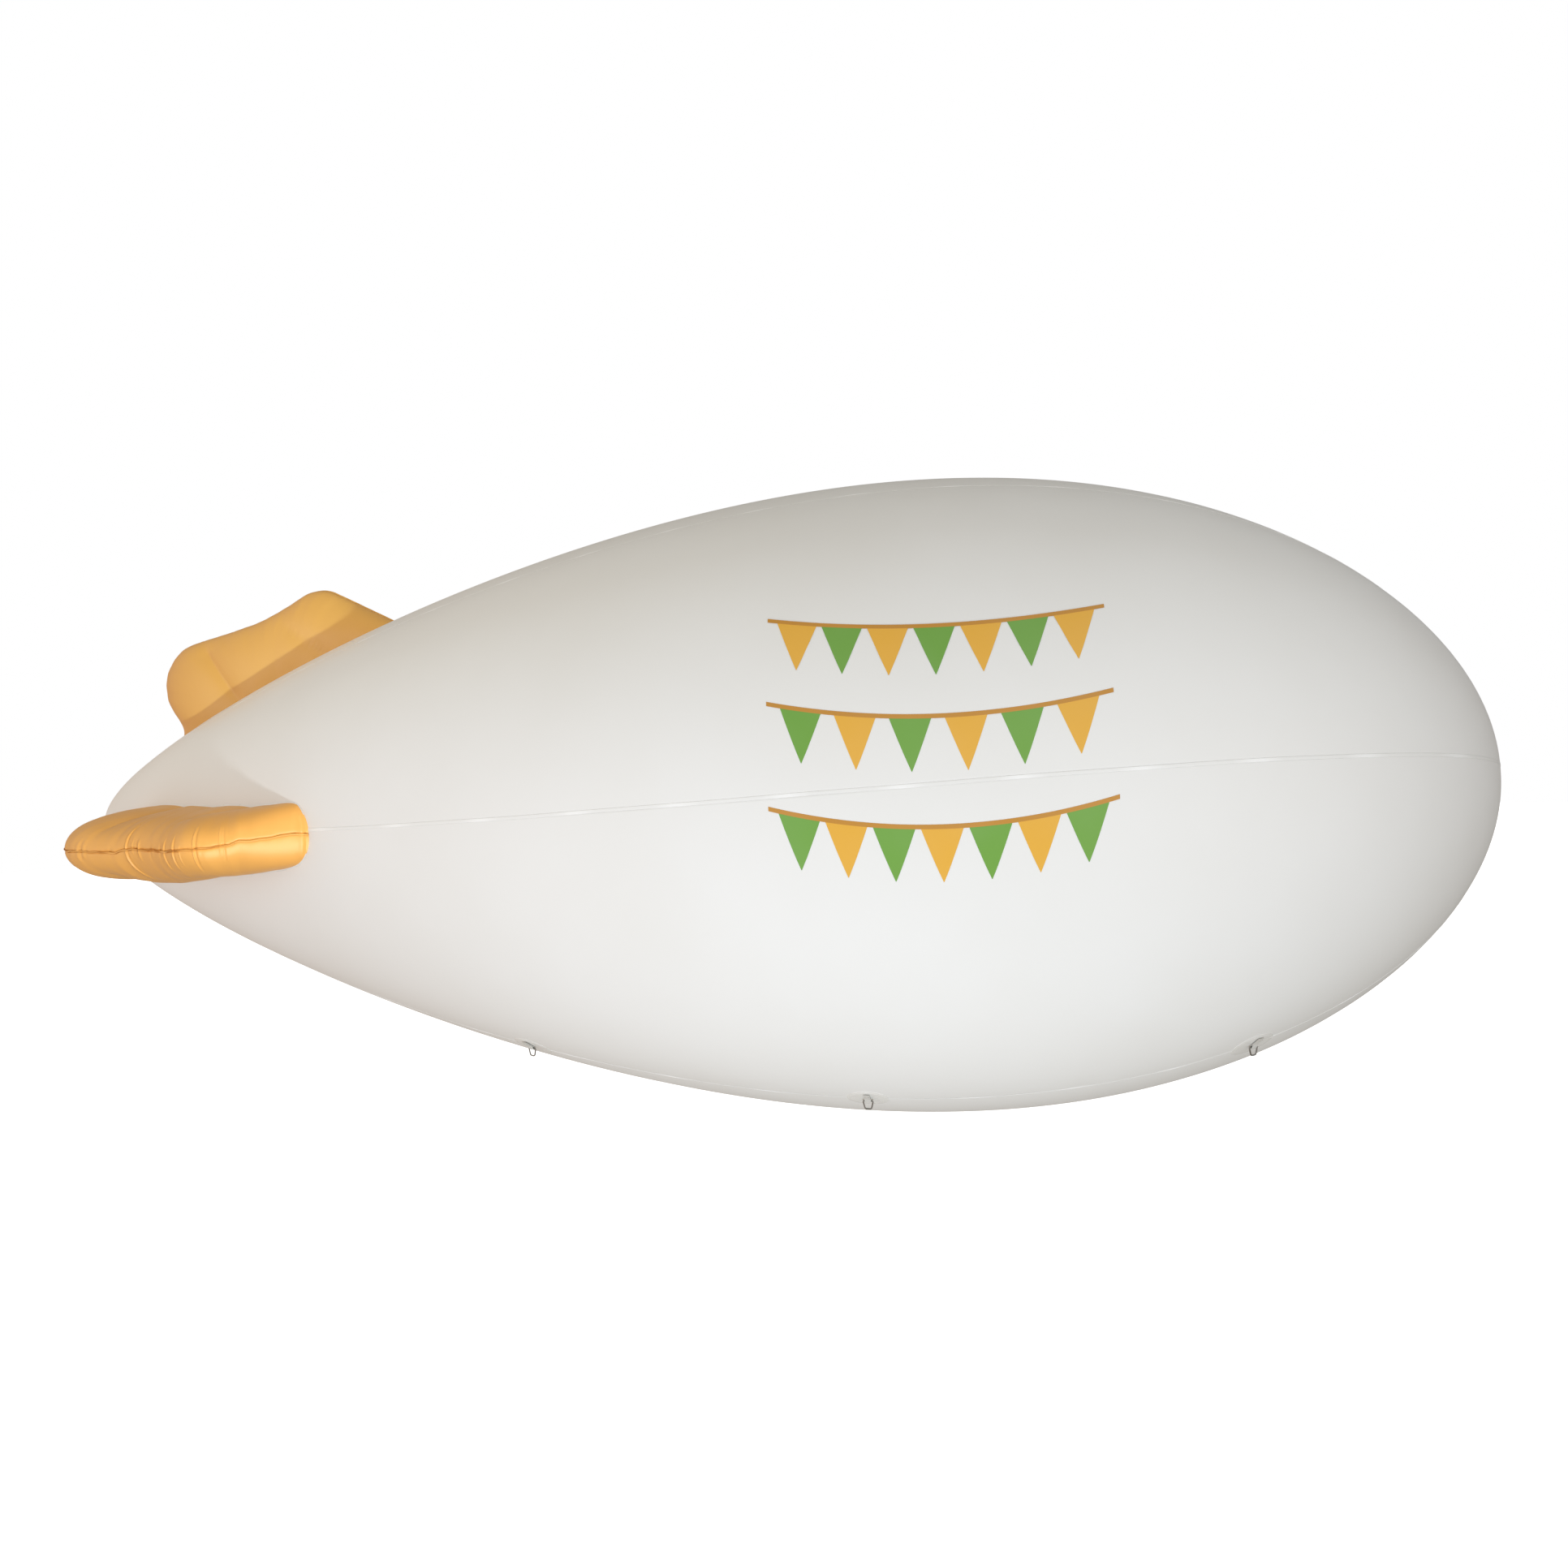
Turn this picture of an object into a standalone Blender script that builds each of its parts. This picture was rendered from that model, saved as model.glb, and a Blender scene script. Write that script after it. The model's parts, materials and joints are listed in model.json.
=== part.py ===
"""Advertising blimp balloon, 5 m long: envelope of six gores, three fins, six tether points and a valve.

Metres, +Z up, +X to the nose, starboard at -Y. The origin is the centre of buoyancy, on the envelope's axis.
"Station" is the distance behind the nose tip as a share of the length: 0 at the nose, 1 at the tail.
"Bearing" is the angle round the axis in degrees: 0 starboard, 90 the top, 180 port, 270 the bottom.
"""

import math

import bmesh
import bpy
from mathutils import Matrix, Vector

# Envelope
HULL_LENGTH = 5.0
NOSE_X = 2.16
FILM = 0.010
GORES = 6
POLE_HOLE_RADIUS = 0.045
POLE_CAP_RADIUS = 0.085
# Deeper than the skin bends away under any round that is welded on it
DISC_DEPTH = 0.06
# Radius as a share of the length is sqrt(t (1 - t) q(t)), where q is this polynomial, lowest power first
PROFILE = (0.2373, 0.1052, -0.8137, 0.8171, -0.3051)
# The gores lie a little twisted: bearing of the starboard seam at the nose, and its fall to the tail
SEAM_BEARING_AT_NOSE = 10.0
SEAM_TWIST = 12.2
GAP = 0.0003

# Fins, as outlines of (distance behind the nose tip, distance from the axis), and radius of each corner
FIN_OUTLINE = (
    (3.74, 0.560, 0.02),
    (3.77, 0.715, 0.03),
    (4.05, 0.875, 0.06),
    (4.30, 0.752, 0.20),
    (4.72, 0.655, 0.13),
    (4.73, 0.440, 0.10),
    (4.62, 0.240, 0.02),
)
FIN_CENTRE = (4.22, 0.36)
FIN_HALF_THICKNESS = 0.110
FIN_RIM = 0.002
# Shares of the way from the fin's centre to its rim at which its skin is drawn
FIN_RINGS = (1.0, 0.975, 0.93, 0.86, 0.74, 0.55, 0.30)

# Tether points, from the photograph's three on the starboard side
TETHER_STATIONS = {"fore": 0.181, "mid": 0.409, "aft": 0.631}
# Seams that carry them, counted upwards from the starboard one
TETHER_SEAMS = {"starboard": 5, "port": 4}
PATCH_RADIUS = 0.065
PATCH_FILM = 0.0015
WEBBING_WIDTH = 0.020
WEBBING_PLY = 0.002
WEBBING_TAIL = 0.045
# Where the plies meet above the ring's bar, and where they lie flat
WEBBING_JOIN = 0.009
WEBBING_FLAT = 0.013
# Deeper than the skin bends away under the strap
WEBBING_DEPTH = 0.006
RING_WIRE = 0.00225
RING_BAR_HALF = 0.01575
RING_BOW_HALF = 0.0095
RING_DEPTH = 0.025
RING_BAR_CORNER = 0.0035
RING_BOW_CORNER = 0.0065
RING_PLAY = 0.00055

# Inflation valve, under the tail on the port side of the keel line
VALVE_STATION = 0.72
VALVE_BEARING = 256.0
VALVE_FLANGE_RADIUS = 0.055
VALVE_RADIUS = 0.024
VALVE_HEIGHT = 0.024
VALVE_BEVEL = 0.002
VALVE_FOOT_RADIUS = 0.034
VALVE_FOOT_HEIGHT = 0.005
VALVE_FOOT_BEVEL = 0.002
VALVE_FOOT_DEPTH = 0.010
VALVE_SOCKET_RADIUS = 0.014
VALVE_SOCKET_DEPTH = 0.016
VALVE_MOUTH_BEVEL = 0.001
LID_RADIUS = 0.022
LID_THICKNESS = 0.003
HINGE_REACH = 0.0275
HINGE_RADIUS = 0.0024
HINGE_WIDTH = 0.010
EAR_WIDTH = 0.003
# Where the ears start, behind the valve's middle and above the skin
EAR_START = (0.018, 0.012)
EAR_PLAY = 0.0015
LID_ARM_OVERLAP = 0.003

# Fineness of the faceted solids
STATIONS = 32
FACETS_PER_GORE = 8

COLOURS = {
    "white film": (0.80, 0.79, 0.77, 1.0),
    "golden film": (0.80, 0.42, 0.11, 1.0),
    "clear patch film": (0.74, 0.75, 0.73, 1.0),
    "white webbing": (0.72, 0.72, 0.70, 1.0),
    "plated steel": (0.45, 0.45, 0.44, 1.0),
    "white moulding": (0.70, 0.70, 0.69, 1.0),
}


def material(name, rough, metallic=0.0):
    """A Principled material of one of the colours above."""
    made = bpy.data.materials.get(name) or bpy.data.materials.new(name)
    made.use_nodes = True
    shader = made.node_tree.nodes["Principled BSDF"]
    shader.inputs["Base Color"].default_value = COLOURS[name]
    shader.inputs["Roughness"].default_value = rough
    shader.inputs["Metallic"].default_value = metallic
    return made


def new_object(name, mesh, collection, finish=None):
    obj = bpy.data.objects.new(name, mesh)
    collection.objects.link(obj)
    if finish:
        obj.data.materials.append(finish)
    return obj


def smooth(obj, angle=math.radians(35)):
    obj.data.shade_smooth()
    obj.data.set_sharp_from_angle(angle=angle)


def as_cutter(obj):
    obj.hide_render = True
    obj.display_type = "WIRE"


def boolean(obj, other, operation):
    modifier = obj.modifiers.new(operation.title(), "BOOLEAN")
    modifier.operation = operation
    modifier.solver = "EXACT"
    modifier.object = other


def meshed(curve_object):
    """The curve as a mesh object of the same name, its caps welded on."""
    name = curve_object.name
    collection = curve_object.users_collection[0]
    bpy.context.view_layer.update()
    graph = bpy.context.evaluated_depsgraph_get()
    mesh = bpy.data.meshes.new_from_object(curve_object.evaluated_get(graph))
    bm = bmesh.new()
    bm.from_mesh(mesh)
    bmesh.ops.remove_doubles(bm, verts=bm.verts, dist=1e-6)
    bmesh.ops.recalc_face_normals(bm, faces=bm.faces)
    bm.to_mesh(mesh)
    bm.free()
    made = new_object(name + "_mesh", mesh, collection)
    made.matrix_world = curve_object.matrix_world
    bpy.data.objects.remove(curve_object)
    made.name = name
    return made


def hull_radius(station):
    shape = sum(c * station**power for power, c in enumerate(PROFILE))
    return HULL_LENGTH * math.sqrt(max(station * (1 - station) * shape, 0.0))


def hull_normal(station):
    """Outward normal of the envelope's side line, as (along +X, away from the axis)."""
    step = 1e-5
    low = max(station - step, 0.0)
    high = min(station + step, 1.0)
    run = (high - low) * HULL_LENGTH
    rise = hull_radius(high) - hull_radius(low)
    length = math.hypot(run, rise)
    return rise / length, run / length


def side_point(station, outward):
    """(x, distance from the axis) of a point that far outside the envelope's skin."""
    along, away = hull_normal(station)
    x = NOSE_X - station * HULL_LENGTH + outward * along
    return x, hull_radius(station) + outward * away


def seam_bearing(x):
    """How far the gores are turned at x, in degrees above the starboard line."""
    return SEAM_BEARING_AT_NOSE - SEAM_TWIST * (NOSE_X - x) / HULL_LENGTH


def around(x, radius, bearing):
    angle = math.radians(bearing)
    return Vector((x, -radius * math.cos(angle), radius * math.sin(angle)))


def hull_frame(station, bearing):
    """A frame on the envelope's skin: X level and along the skin, Y up along it, Z outward."""
    along, away = hull_normal(station)
    normal = around(along, away, bearing)
    level = Vector((0, 0, 1)).cross(normal).normalized()
    x, radius = side_point(station, 0.0)
    frame = Matrix((level, normal.cross(level), normal)).transposed().to_4x4()
    frame.translation = around(x, radius, bearing)
    return frame


def station_table():
    """Stations of the envelope's rings from one pole hole to the other, closer together at both ends."""
    ends = []
    for from_nose in (True, False):
        low, high = 0.0, 0.1
        for _ in range(40):
            middle = (low + high) / 2
            inside = hull_radius(middle if from_nose else 1 - middle) < POLE_HOLE_RADIUS
            low, high = (middle, high) if inside else (low, middle)
        ends.append(math.acos(1 - 2 * high))
    first, last = ends[0], math.pi - ends[1]
    angles = [first + (last - first) * i / STATIONS for i in range(STATIONS + 1)]
    return [(1 - math.cos(angle)) / 2 for angle in angles]


def twist(bm):
    for vertex in bm.verts:
        turn = Matrix.Rotation(-math.radians(seam_bearing(vertex.co.x)), 3, "X")
        vertex.co = turn @ vertex.co


def gore(index, name, collection, finish):
    """One panel of the envelope: a strip of the side line, thick as the film, spun over a sixth of a turn."""
    bm = bmesh.new()
    rungs = []
    for station in station_table():
        outer = around(*side_point(station, 0.0), 0.0)
        inner = around(*side_point(station, -FILM), 0.0)
        rungs.append((bm.verts.new(outer), bm.verts.new(inner)))
    for (a, b), (c, d) in zip(rungs, rungs[1:]):
        bm.faces.new((a, b, d, c))
    share = 2 * math.pi / GORES
    bmesh.ops.spin(
        bm,
        geom=bm.verts[:] + bm.edges[:] + bm.faces[:],
        cent=(0, 0, 0),
        axis=(-1, 0, 0),
        angle=share,
        steps=FACETS_PER_GORE,
    )
    for vertex in bm.verts:
        radius = math.hypot(vertex.co.y, vertex.co.z)
        angle = math.atan2(vertex.co.z, -vertex.co.y)
        margin = GAP / 2 / radius
        angle = margin + angle * (share - 2 * margin) / share + index * share
        vertex.co = around(vertex.co.x, radius, math.degrees(angle))
    twist(bm)
    bmesh.ops.recalc_face_normals(bm, faces=bm.faces)
    mesh = bpy.data.meshes.new(name)
    bm.to_mesh(mesh)
    bm.free()
    smooth(new_object(name, mesh, collection, finish))


def envelope_body(name, outward, collection):
    """The whole envelope as one closed body that far outside its skin, for cutting what sits on it."""
    bm = bmesh.new()
    nose = around(*side_point(0.0, outward)[:1], 0.0, 0.0)
    tail = around(*side_point(1.0, outward)[:1], 0.0, 0.0)
    line = [nose] + [around(*side_point(s, outward), 0.0) for s in station_table()] + [tail]
    verts = [bm.verts.new(point) for point in line]
    edges = [bm.edges.new(pair) for pair in zip(verts, verts[1:])]
    bmesh.ops.spin(
        bm,
        geom=verts + edges,
        cent=(0, 0, 0),
        axis=(-1, 0, 0),
        angle=2 * math.pi,
        steps=GORES * FACETS_PER_GORE,
        use_merge=True,
    )
    bmesh.ops.remove_doubles(bm, verts=bm.verts, dist=1e-6)
    twist(bm)
    bmesh.ops.recalc_face_normals(bm, faces=bm.faces)
    mesh = bpy.data.meshes.new(name)
    bm.to_mesh(mesh)
    bm.free()
    body = new_object(name, mesh, collection)
    as_cutter(body)
    return body


def cylinder(name, frame, radius, low, high, sides, collection, finish=None):
    """A cylinder along the frame's Z, from low to high."""
    bm = bmesh.new()
    bmesh.ops.create_cone(
        bm, cap_ends=True, segments=sides, radius1=radius, radius2=radius, depth=high - low
    )
    bmesh.ops.translate(bm, verts=bm.verts, vec=(0, 0, (low + high) / 2))
    mesh = bpy.data.meshes.new(name)
    bm.to_mesh(mesh)
    bm.free()
    obj = new_object(name, mesh, collection, finish)
    obj.matrix_world = frame
    return obj


def welded_disc(name, frame, radius, skin, seat, collection, finish):
    """A round of film that follows the envelope, between the two bodies given."""
    disc = cylinder(name, frame, radius, -DISC_DEPTH, DISC_DEPTH, 20, collection, finish)
    boolean(disc, skin, "INTERSECT")
    boolean(disc, seat, "DIFFERENCE")
    return disc


def rounded(corners, steps):
    """A closed outline through corners of (x, y, radius), each corner an arc of that many steps."""
    points = []
    for i, (x, y, radius) in enumerate(corners):
        corner = Vector((x, y))
        to_last = (Vector(corners[i - 1][:2]) - corner).normalized()
        to_next = (Vector(corners[(i + 1) % len(corners)][:2]) - corner).normalized()
        half = to_last.angle(to_next) / 2
        bisector = (to_last + to_next).normalized()
        centre = corner + bisector * radius / math.sin(half)
        start = corner + to_last * radius / math.tan(half) - centre
        sweep = math.pi - 2 * half
        side = 1 if to_last.x * to_next.y - to_last.y * to_next.x < 0 else -1
        for step in range(steps + 1):
            turn = Matrix.Rotation(side * sweep * step / steps, 2)
            points.append(centre + turn @ start)
    return points


def fin_panel(name, bearing, side, seat, collection, finish):
    """Half of an inflated fin, from its mid plane to its skin, drawn in ring by ring and cut to the envelope."""
    centre = Vector(FIN_CENTRE)
    outline = [point - centre for point in rounded(FIN_OUTLINE, 3)]
    bm = bmesh.new()
    floor = [bm.verts.new((-p.x, side * GAP / 2, p.y)) for p in outline]
    bm.faces.new(floor)
    ring = bm.edges[:]
    previous = 1.0
    for share in FIN_RINGS:
        height = FIN_RIM + (FIN_HALF_THICKNESS - FIN_RIM) * math.sqrt(1 - share**4)
        grown = bmesh.ops.extrude_edge_only(bm, edges=ring)["geom"]
        ring = [item for item in grown if isinstance(item, bmesh.types.BMEdge)]
        verts = [item for item in grown if isinstance(item, bmesh.types.BMVert)]
        bmesh.ops.scale(bm, verts=verts, vec=(share / previous, 1, share / previous))
        for vertex in verts:
            vertex.co.y = side * height
        previous = share
    bm.faces.new(verts_of_loop(ring))
    bmesh.ops.translate(bm, verts=bm.verts, vec=(NOSE_X - centre.x, 0, centre.y))
    bmesh.ops.recalc_face_normals(bm, faces=bm.faces)
    mesh = bpy.data.meshes.new(name)
    bm.to_mesh(mesh)
    bm.free()
    panel = new_object(name, mesh, collection, finish)
    panel.rotation_euler.x = math.radians(90 - bearing)
    boolean(panel, seat, "DIFFERENCE")
    smooth(panel)


def verts_of_loop(edges):
    """The vertices of a closed ring of edges, in order."""
    left = set(edges)
    edge = left.pop()
    loop = [edge.verts[0], edge.verts[1]]
    while left:
        edge = next(e for e in loop[-1].link_edges if e in left)
        left.remove(edge)
        loop.append(edge.other_vert(loop[-1]))
    return loop[:-1]


def bar_height():
    """How far the ring's bar stands off the skin: patch, one ply of webbing, play and half the wire."""
    return GAP + PATCH_FILM + GAP + WEBBING_PLY + RING_PLAY + RING_WIRE


def flat_curve(name, outlines, thickness, frame, collection):
    """A flat outline with its holes, drawn in the frame's XY and as thick as given."""
    curve = bpy.data.curves.new(name, "CURVE")
    curve.dimensions = "2D"
    curve.fill_mode = "BOTH"
    curve.extrude = thickness / 2
    for outline in outlines:
        spline = curve.splines.new("POLY")
        spline.points.add(len(outline) - 1)
        for point, (x, y) in zip(spline.points, outline):
            point.co = (x, y, 0, 1)
        spline.use_cyclic_u = True
    obj = bpy.data.objects.new(name, curve)
    collection.objects.link(obj)
    obj.matrix_world = frame
    return obj


def webbing_loop(name, frame, seat, collection, finish):
    """A folded strap round the ring's bar, with both plies in one tail up the patch."""
    height = bar_height()
    inner = RING_WIRE + RING_PLAY
    outer = inner + WEBBING_PLY
    sides = 16
    hole = [
        (inner * math.cos(a), height + inner * math.sin(a))
        for a in (2 * math.pi * i / sides for i in range(sides))
    ]
    # From the low front of the fold, over the bar, to where it meets the tail
    fold = [math.radians(270 - 220 * i / 10) for i in range(11)]
    edge = [(outer * math.cos(a), height + outer * math.sin(a)) for a in fold]
    tail_top = GAP + PATCH_FILM + GAP + 2 * WEBBING_PLY
    edge += [(WEBBING_JOIN, tail_top + WEBBING_PLY / 2), (WEBBING_FLAT, tail_top)]
    edge += [(WEBBING_TAIL, tail_top), (WEBBING_TAIL, -WEBBING_DEPTH), (0.0, -WEBBING_DEPTH)]
    # The strap's cross-section is drawn in a plane that stands across the bar
    across = Matrix(((0, 0, 1, 0), (1, 0, 0, 0), (0, 1, 0, 0), (0, 0, 0, 1)))
    strap = meshed(flat_curve(name, [edge, hole], WEBBING_WIDTH, frame @ across, collection))
    strap.data.materials.append(finish)
    boolean(strap, seat, "DIFFERENCE")
    smooth(strap)


def tether_ring(name, frame, collection, finish):
    """A D-ring of round wire that hangs straight down from its bar."""
    corners = (
        (RING_BAR_HALF, 0.0, RING_BAR_CORNER),
        (RING_BOW_HALF, -RING_DEPTH, RING_BOW_CORNER),
        (-RING_BOW_HALF, -RING_DEPTH, RING_BOW_CORNER),
        (-RING_BAR_HALF, 0.0, RING_BAR_CORNER),
    )
    curve = bpy.data.curves.new(name, "CURVE")
    curve.dimensions = "3D"
    curve.bevel_depth = RING_WIRE
    curve.bevel_resolution = 2
    spline = curve.splines.new("POLY")
    path = rounded(corners, 4)
    spline.points.add(len(path) - 1)
    for point, (x, y) in zip(spline.points, path):
        point.co = (x, y, 0, 1)
        # Turns the wire's flats to face straight down under the bow
        point.tilt = math.radians(22.5)
    spline.use_cyclic_u = True
    curve.materials.append(finish)
    ring = bpy.data.objects.new(name, curve)
    collection.objects.link(ring)
    level = frame.to_3x3().col[0]
    up = Vector((0, 0, 1))
    hang = Matrix((level, up, level.cross(up))).transposed().to_4x4()
    hang.translation = frame @ Vector((0, 0, bar_height()))
    ring.matrix_world = hang


def turned(name, profile, frame, sides, collection, finish):
    """A body turned about the frame's Z from a side line of (radius, height), outer side downwards."""
    mesh = bpy.data.meshes.new(name)
    bm = bmesh.new()
    verts = [bm.verts.new((radius, 0, height)) for radius, height in profile]
    for pair in zip(verts, verts[1:]):
        bm.edges.new(pair)
    bm.to_mesh(mesh)
    bm.free()
    obj = new_object(name, mesh, collection, finish)
    obj.matrix_world = frame
    screw = obj.modifiers.new("Screw", "SCREW")
    screw.steps = sides
    screw.render_steps = sides
    screw.use_merge_vertices = True
    screw.merge_threshold = 0.0001
    return obj


def block(name, frame, low, high, collection, finish=None):
    bm = bmesh.new()
    bmesh.ops.create_cube(bm, size=1.0)
    size = Vector(high) - Vector(low)
    bmesh.ops.scale(bm, verts=bm.verts, vec=size)
    bmesh.ops.translate(bm, verts=bm.verts, vec=(Vector(high) + Vector(low)) / 2)
    mesh = bpy.data.meshes.new(name)
    bm.to_mesh(mesh)
    bm.free()
    obj = new_object(name, mesh, collection, finish)
    obj.matrix_world = frame
    return obj


def inflation_valve(pieces, tools, bodies, finishes):
    """Flange welded to the film, body with a blind socket, and a lid hinged on two ears."""
    frame = hull_frame(VALVE_STATION, VALVE_BEARING)
    skin, seat, on_patch = bodies
    welded_disc(
        "valve_flange", frame, VALVE_FLANGE_RADIUS, skin, seat, pieces, finishes["clear patch film"]
    )
    top = VALVE_HEIGHT
    body_line = (
        (0.0, top - VALVE_SOCKET_DEPTH),
        (VALVE_SOCKET_RADIUS, top - VALVE_SOCKET_DEPTH),
        (VALVE_SOCKET_RADIUS, top - VALVE_MOUTH_BEVEL),
        (VALVE_SOCKET_RADIUS + VALVE_MOUTH_BEVEL, top),
        (VALVE_RADIUS - VALVE_BEVEL, top),
        (VALVE_RADIUS, top - VALVE_BEVEL),
        (VALVE_RADIUS, VALVE_FOOT_HEIGHT + VALVE_FOOT_BEVEL),
        (VALVE_FOOT_RADIUS, VALVE_FOOT_HEIGHT),
        (VALVE_FOOT_RADIUS, -VALVE_FOOT_DEPTH),
        (0.0, -VALVE_FOOT_DEPTH),
    )
    body = turned("valve_body", body_line, frame, 24, pieces, finishes["white moulding"])
    hinge_z = top + GAP + LID_THICKNESS / 2
    ear_inside = HINGE_WIDTH / 2 + GAP
    for number, side in enumerate((-1, 1)):
        xs = sorted((side * ear_inside, side * (ear_inside + EAR_WIDTH)))
        ear = block(
            f"valve_ear_{number}",
            frame,
            (xs[0], *EAR_START),
            (xs[1], HINGE_REACH + HINGE_RADIUS, hinge_z + HINGE_RADIUS),
            tools,
        )
        # Only the part of the ear that stands outside the lid's edge is kept
        room = cylinder(
            f"valve_ear_room_{number}", frame, LID_RADIUS + EAR_PLAY, top, 2 * top, 32, tools
        )
        boolean(ear, room, "DIFFERENCE")
        as_cutter(ear)
        as_cutter(room)
        boolean(body, ear, "UNION")
    boolean(body, on_patch, "DIFFERENCE")
    smooth(body)
    lid = cylinder(
        "valve_lid", frame, LID_RADIUS, top + GAP, top + GAP + LID_THICKNESS, 32, pieces,
        finishes["white moulding"],
    )
    hinge = Matrix.Translation((0, HINGE_REACH, hinge_z))
    knuckle_frame = frame @ hinge @ Matrix.Rotation(math.pi / 2, 4, "Y")
    half = HINGE_WIDTH / 2
    knuckle = cylinder("valve_knuckle", knuckle_frame, HINGE_RADIUS, -half, half, 12, tools)
    arm = block(
        "valve_lid_arm",
        frame,
        (-half, LID_RADIUS - LID_ARM_OVERLAP, top + GAP),
        (half, HINGE_REACH, top + GAP + LID_THICKNESS),
        tools,
    )
    for tool in (arm, knuckle):
        as_cutter(tool)
        boolean(lid, tool, "UNION")
    smooth(lid)


def main():
    for obj in list(bpy.data.objects):
        bpy.data.objects.remove(obj)
    pieces = bpy.data.collections.new("advertising_blimp_balloon")
    tools = bpy.data.collections.new("cutters")
    for collection in (pieces, tools):
        bpy.context.scene.collection.children.link(collection)
    roughness = {"plated steel": 0.3, "white webbing": 0.8}
    finishes = {
        name: material(name, roughness.get(name, 0.35), float(name == "plated steel"))
        for name in COLOURS
    }

    seat = envelope_body("seat_on_gores", GAP, tools)
    skin = envelope_body("patch_skin", GAP + PATCH_FILM, tools)
    on_patch = envelope_body("seat_on_patches", GAP + PATCH_FILM + GAP, tools)

    gore_names = ("upper_starboard", "top", "upper_port", "lower_port", "bottom", "lower_starboard")
    for index, place in enumerate(gore_names):
        gore(index, f"gore_{place}", pieces, finishes["white film"])

    for place, station, way in (("nose", 0.0, 1), ("tail", 1.0, -1)):
        frame = Matrix.Rotation(way * math.pi / 2, 4, "Y")
        frame.translation = (NOSE_X - station * HULL_LENGTH, 0, 0)
        cap = welded_disc(
            f"{place}_cap", frame, POLE_CAP_RADIUS, skin, seat, pieces, finishes["white film"]
        )
        smooth(cap)

    # Fin, its bearing, and its two panels by the side of its mid plane that each is on
    fins = (
        ("starboard", 0, (("upper", 1), ("lower", -1))),
        ("top", 90, (("port", 1), ("starboard", -1))),
        ("port", 180, (("lower", 1), ("upper", -1))),
    )
    for place, bearing, panels in fins:
        for panel, side in panels:
            name = f"fin_{place}_{panel}_panel"
            fin_panel(name, bearing, side, seat, pieces, finishes["golden film"])

    for flank, seam in TETHER_SEAMS.items():
        for place, station in TETHER_STATIONS.items():
            x = NOSE_X - station * HULL_LENGTH
            frame = hull_frame(station, seam * 360 / GORES + seam_bearing(x))
            name = f"{flank}_{place}"
            welded_disc(
                f"patch_{name}", frame, PATCH_RADIUS, skin, seat, pieces, finishes["clear patch film"]
            )
            webbing_loop(f"webbing_{name}", frame, on_patch, pieces, finishes["white webbing"])
            tether_ring(f"ring_{name}", frame, pieces, finishes["plated steel"])

    inflation_valve(pieces, tools, (skin, seat, on_patch), finishes)


main()
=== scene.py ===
"""Advertising blimp balloon: the finish of its film, welds, fins, tether points, valve and printed bunting.

Row frame in metres: +X to the nose, +Z up, starboard at -Y, origin on the envelope's axis.
"Station" is the distance behind the nose tip as a share of the length: 0 at the nose, 1 at the tail.
"Bearing" is the angle round the axis in degrees: 0 starboard, 90 the top, 180 port, 270 the bottom.
"""

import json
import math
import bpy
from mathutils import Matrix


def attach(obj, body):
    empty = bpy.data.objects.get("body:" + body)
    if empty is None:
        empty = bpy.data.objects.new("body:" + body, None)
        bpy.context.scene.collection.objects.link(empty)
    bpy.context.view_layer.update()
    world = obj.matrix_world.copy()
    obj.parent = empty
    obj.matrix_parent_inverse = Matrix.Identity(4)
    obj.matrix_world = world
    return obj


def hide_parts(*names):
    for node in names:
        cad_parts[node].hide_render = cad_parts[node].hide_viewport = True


bl_info = {
    "name": "Advertising Blimp Balloon",
    "version": (1, 0, 0),
    "blender": (4, 5, 0),
    "location": "3D View > Sidebar > Blimp",
    "description": "Dresses the packed frame of a helium advertising blimp and sets its stage",
    "category": "Object",
}

import bpy
import numpy as np
from bpy.props import FloatProperty, FloatVectorProperty, IntProperty, PointerProperty, StringProperty
from mathutils import Euler, Matrix, Vector

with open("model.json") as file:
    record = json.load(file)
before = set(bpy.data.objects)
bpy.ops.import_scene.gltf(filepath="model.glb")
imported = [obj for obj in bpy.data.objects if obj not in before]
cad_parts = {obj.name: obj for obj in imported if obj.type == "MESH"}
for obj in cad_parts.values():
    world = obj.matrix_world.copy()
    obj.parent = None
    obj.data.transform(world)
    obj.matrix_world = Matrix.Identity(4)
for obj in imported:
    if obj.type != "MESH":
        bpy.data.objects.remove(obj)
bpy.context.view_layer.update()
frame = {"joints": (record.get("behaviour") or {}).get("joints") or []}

GORE_NAMES = ("upper_starboard", "top", "upper_port", "lower_port", "bottom", "lower_starboard")
SEAM_COUNT = len(GORE_NAMES)
SEAM_ANGLE = 360 / SEAM_COUNT

# Radius as a share of the length is sqrt(t (1 - t) q(t)), where q is this polynomial, lowest power first
PROFILE = (0.2373, 0.1052, -0.8137, 0.8171, -0.3051)

# Fin corners: distance behind the nose tip, distance from the axis, corner radius
FIN_CORNERS = (
    (3.727, 0.560, 0.02),
    (3.757, 0.710, 0.03),
    (4.070, 0.870, 0.13),
    (4.300, 0.746, 0.70),
    (4.710, 0.651, 0.17),
    (4.712, 0.470, 0.12),
    (4.650, 0.360, 0.08),
    (4.655, 0.240, 0.02),
)
# Where the rings of a fin's grid run together, in the same measures
FIN_CENTRE = (4.22, 0.36)

# Fin, its bearing, and its two panels by the side of the mid plane that each is on
FINS = (
    ("starboard", 0, (("upper", 1), ("lower", -1))),
    ("top", 90, (("port", 1), ("starboard", -1))),
    ("port", 180, (("lower", 1), ("upper", -1))),
)

TETHER_STATIONS = {"fore": 0.181, "mid": 0.409, "aft": 0.631}
TETHER_SEAMS = {"starboard": 5, "port": 4}


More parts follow.
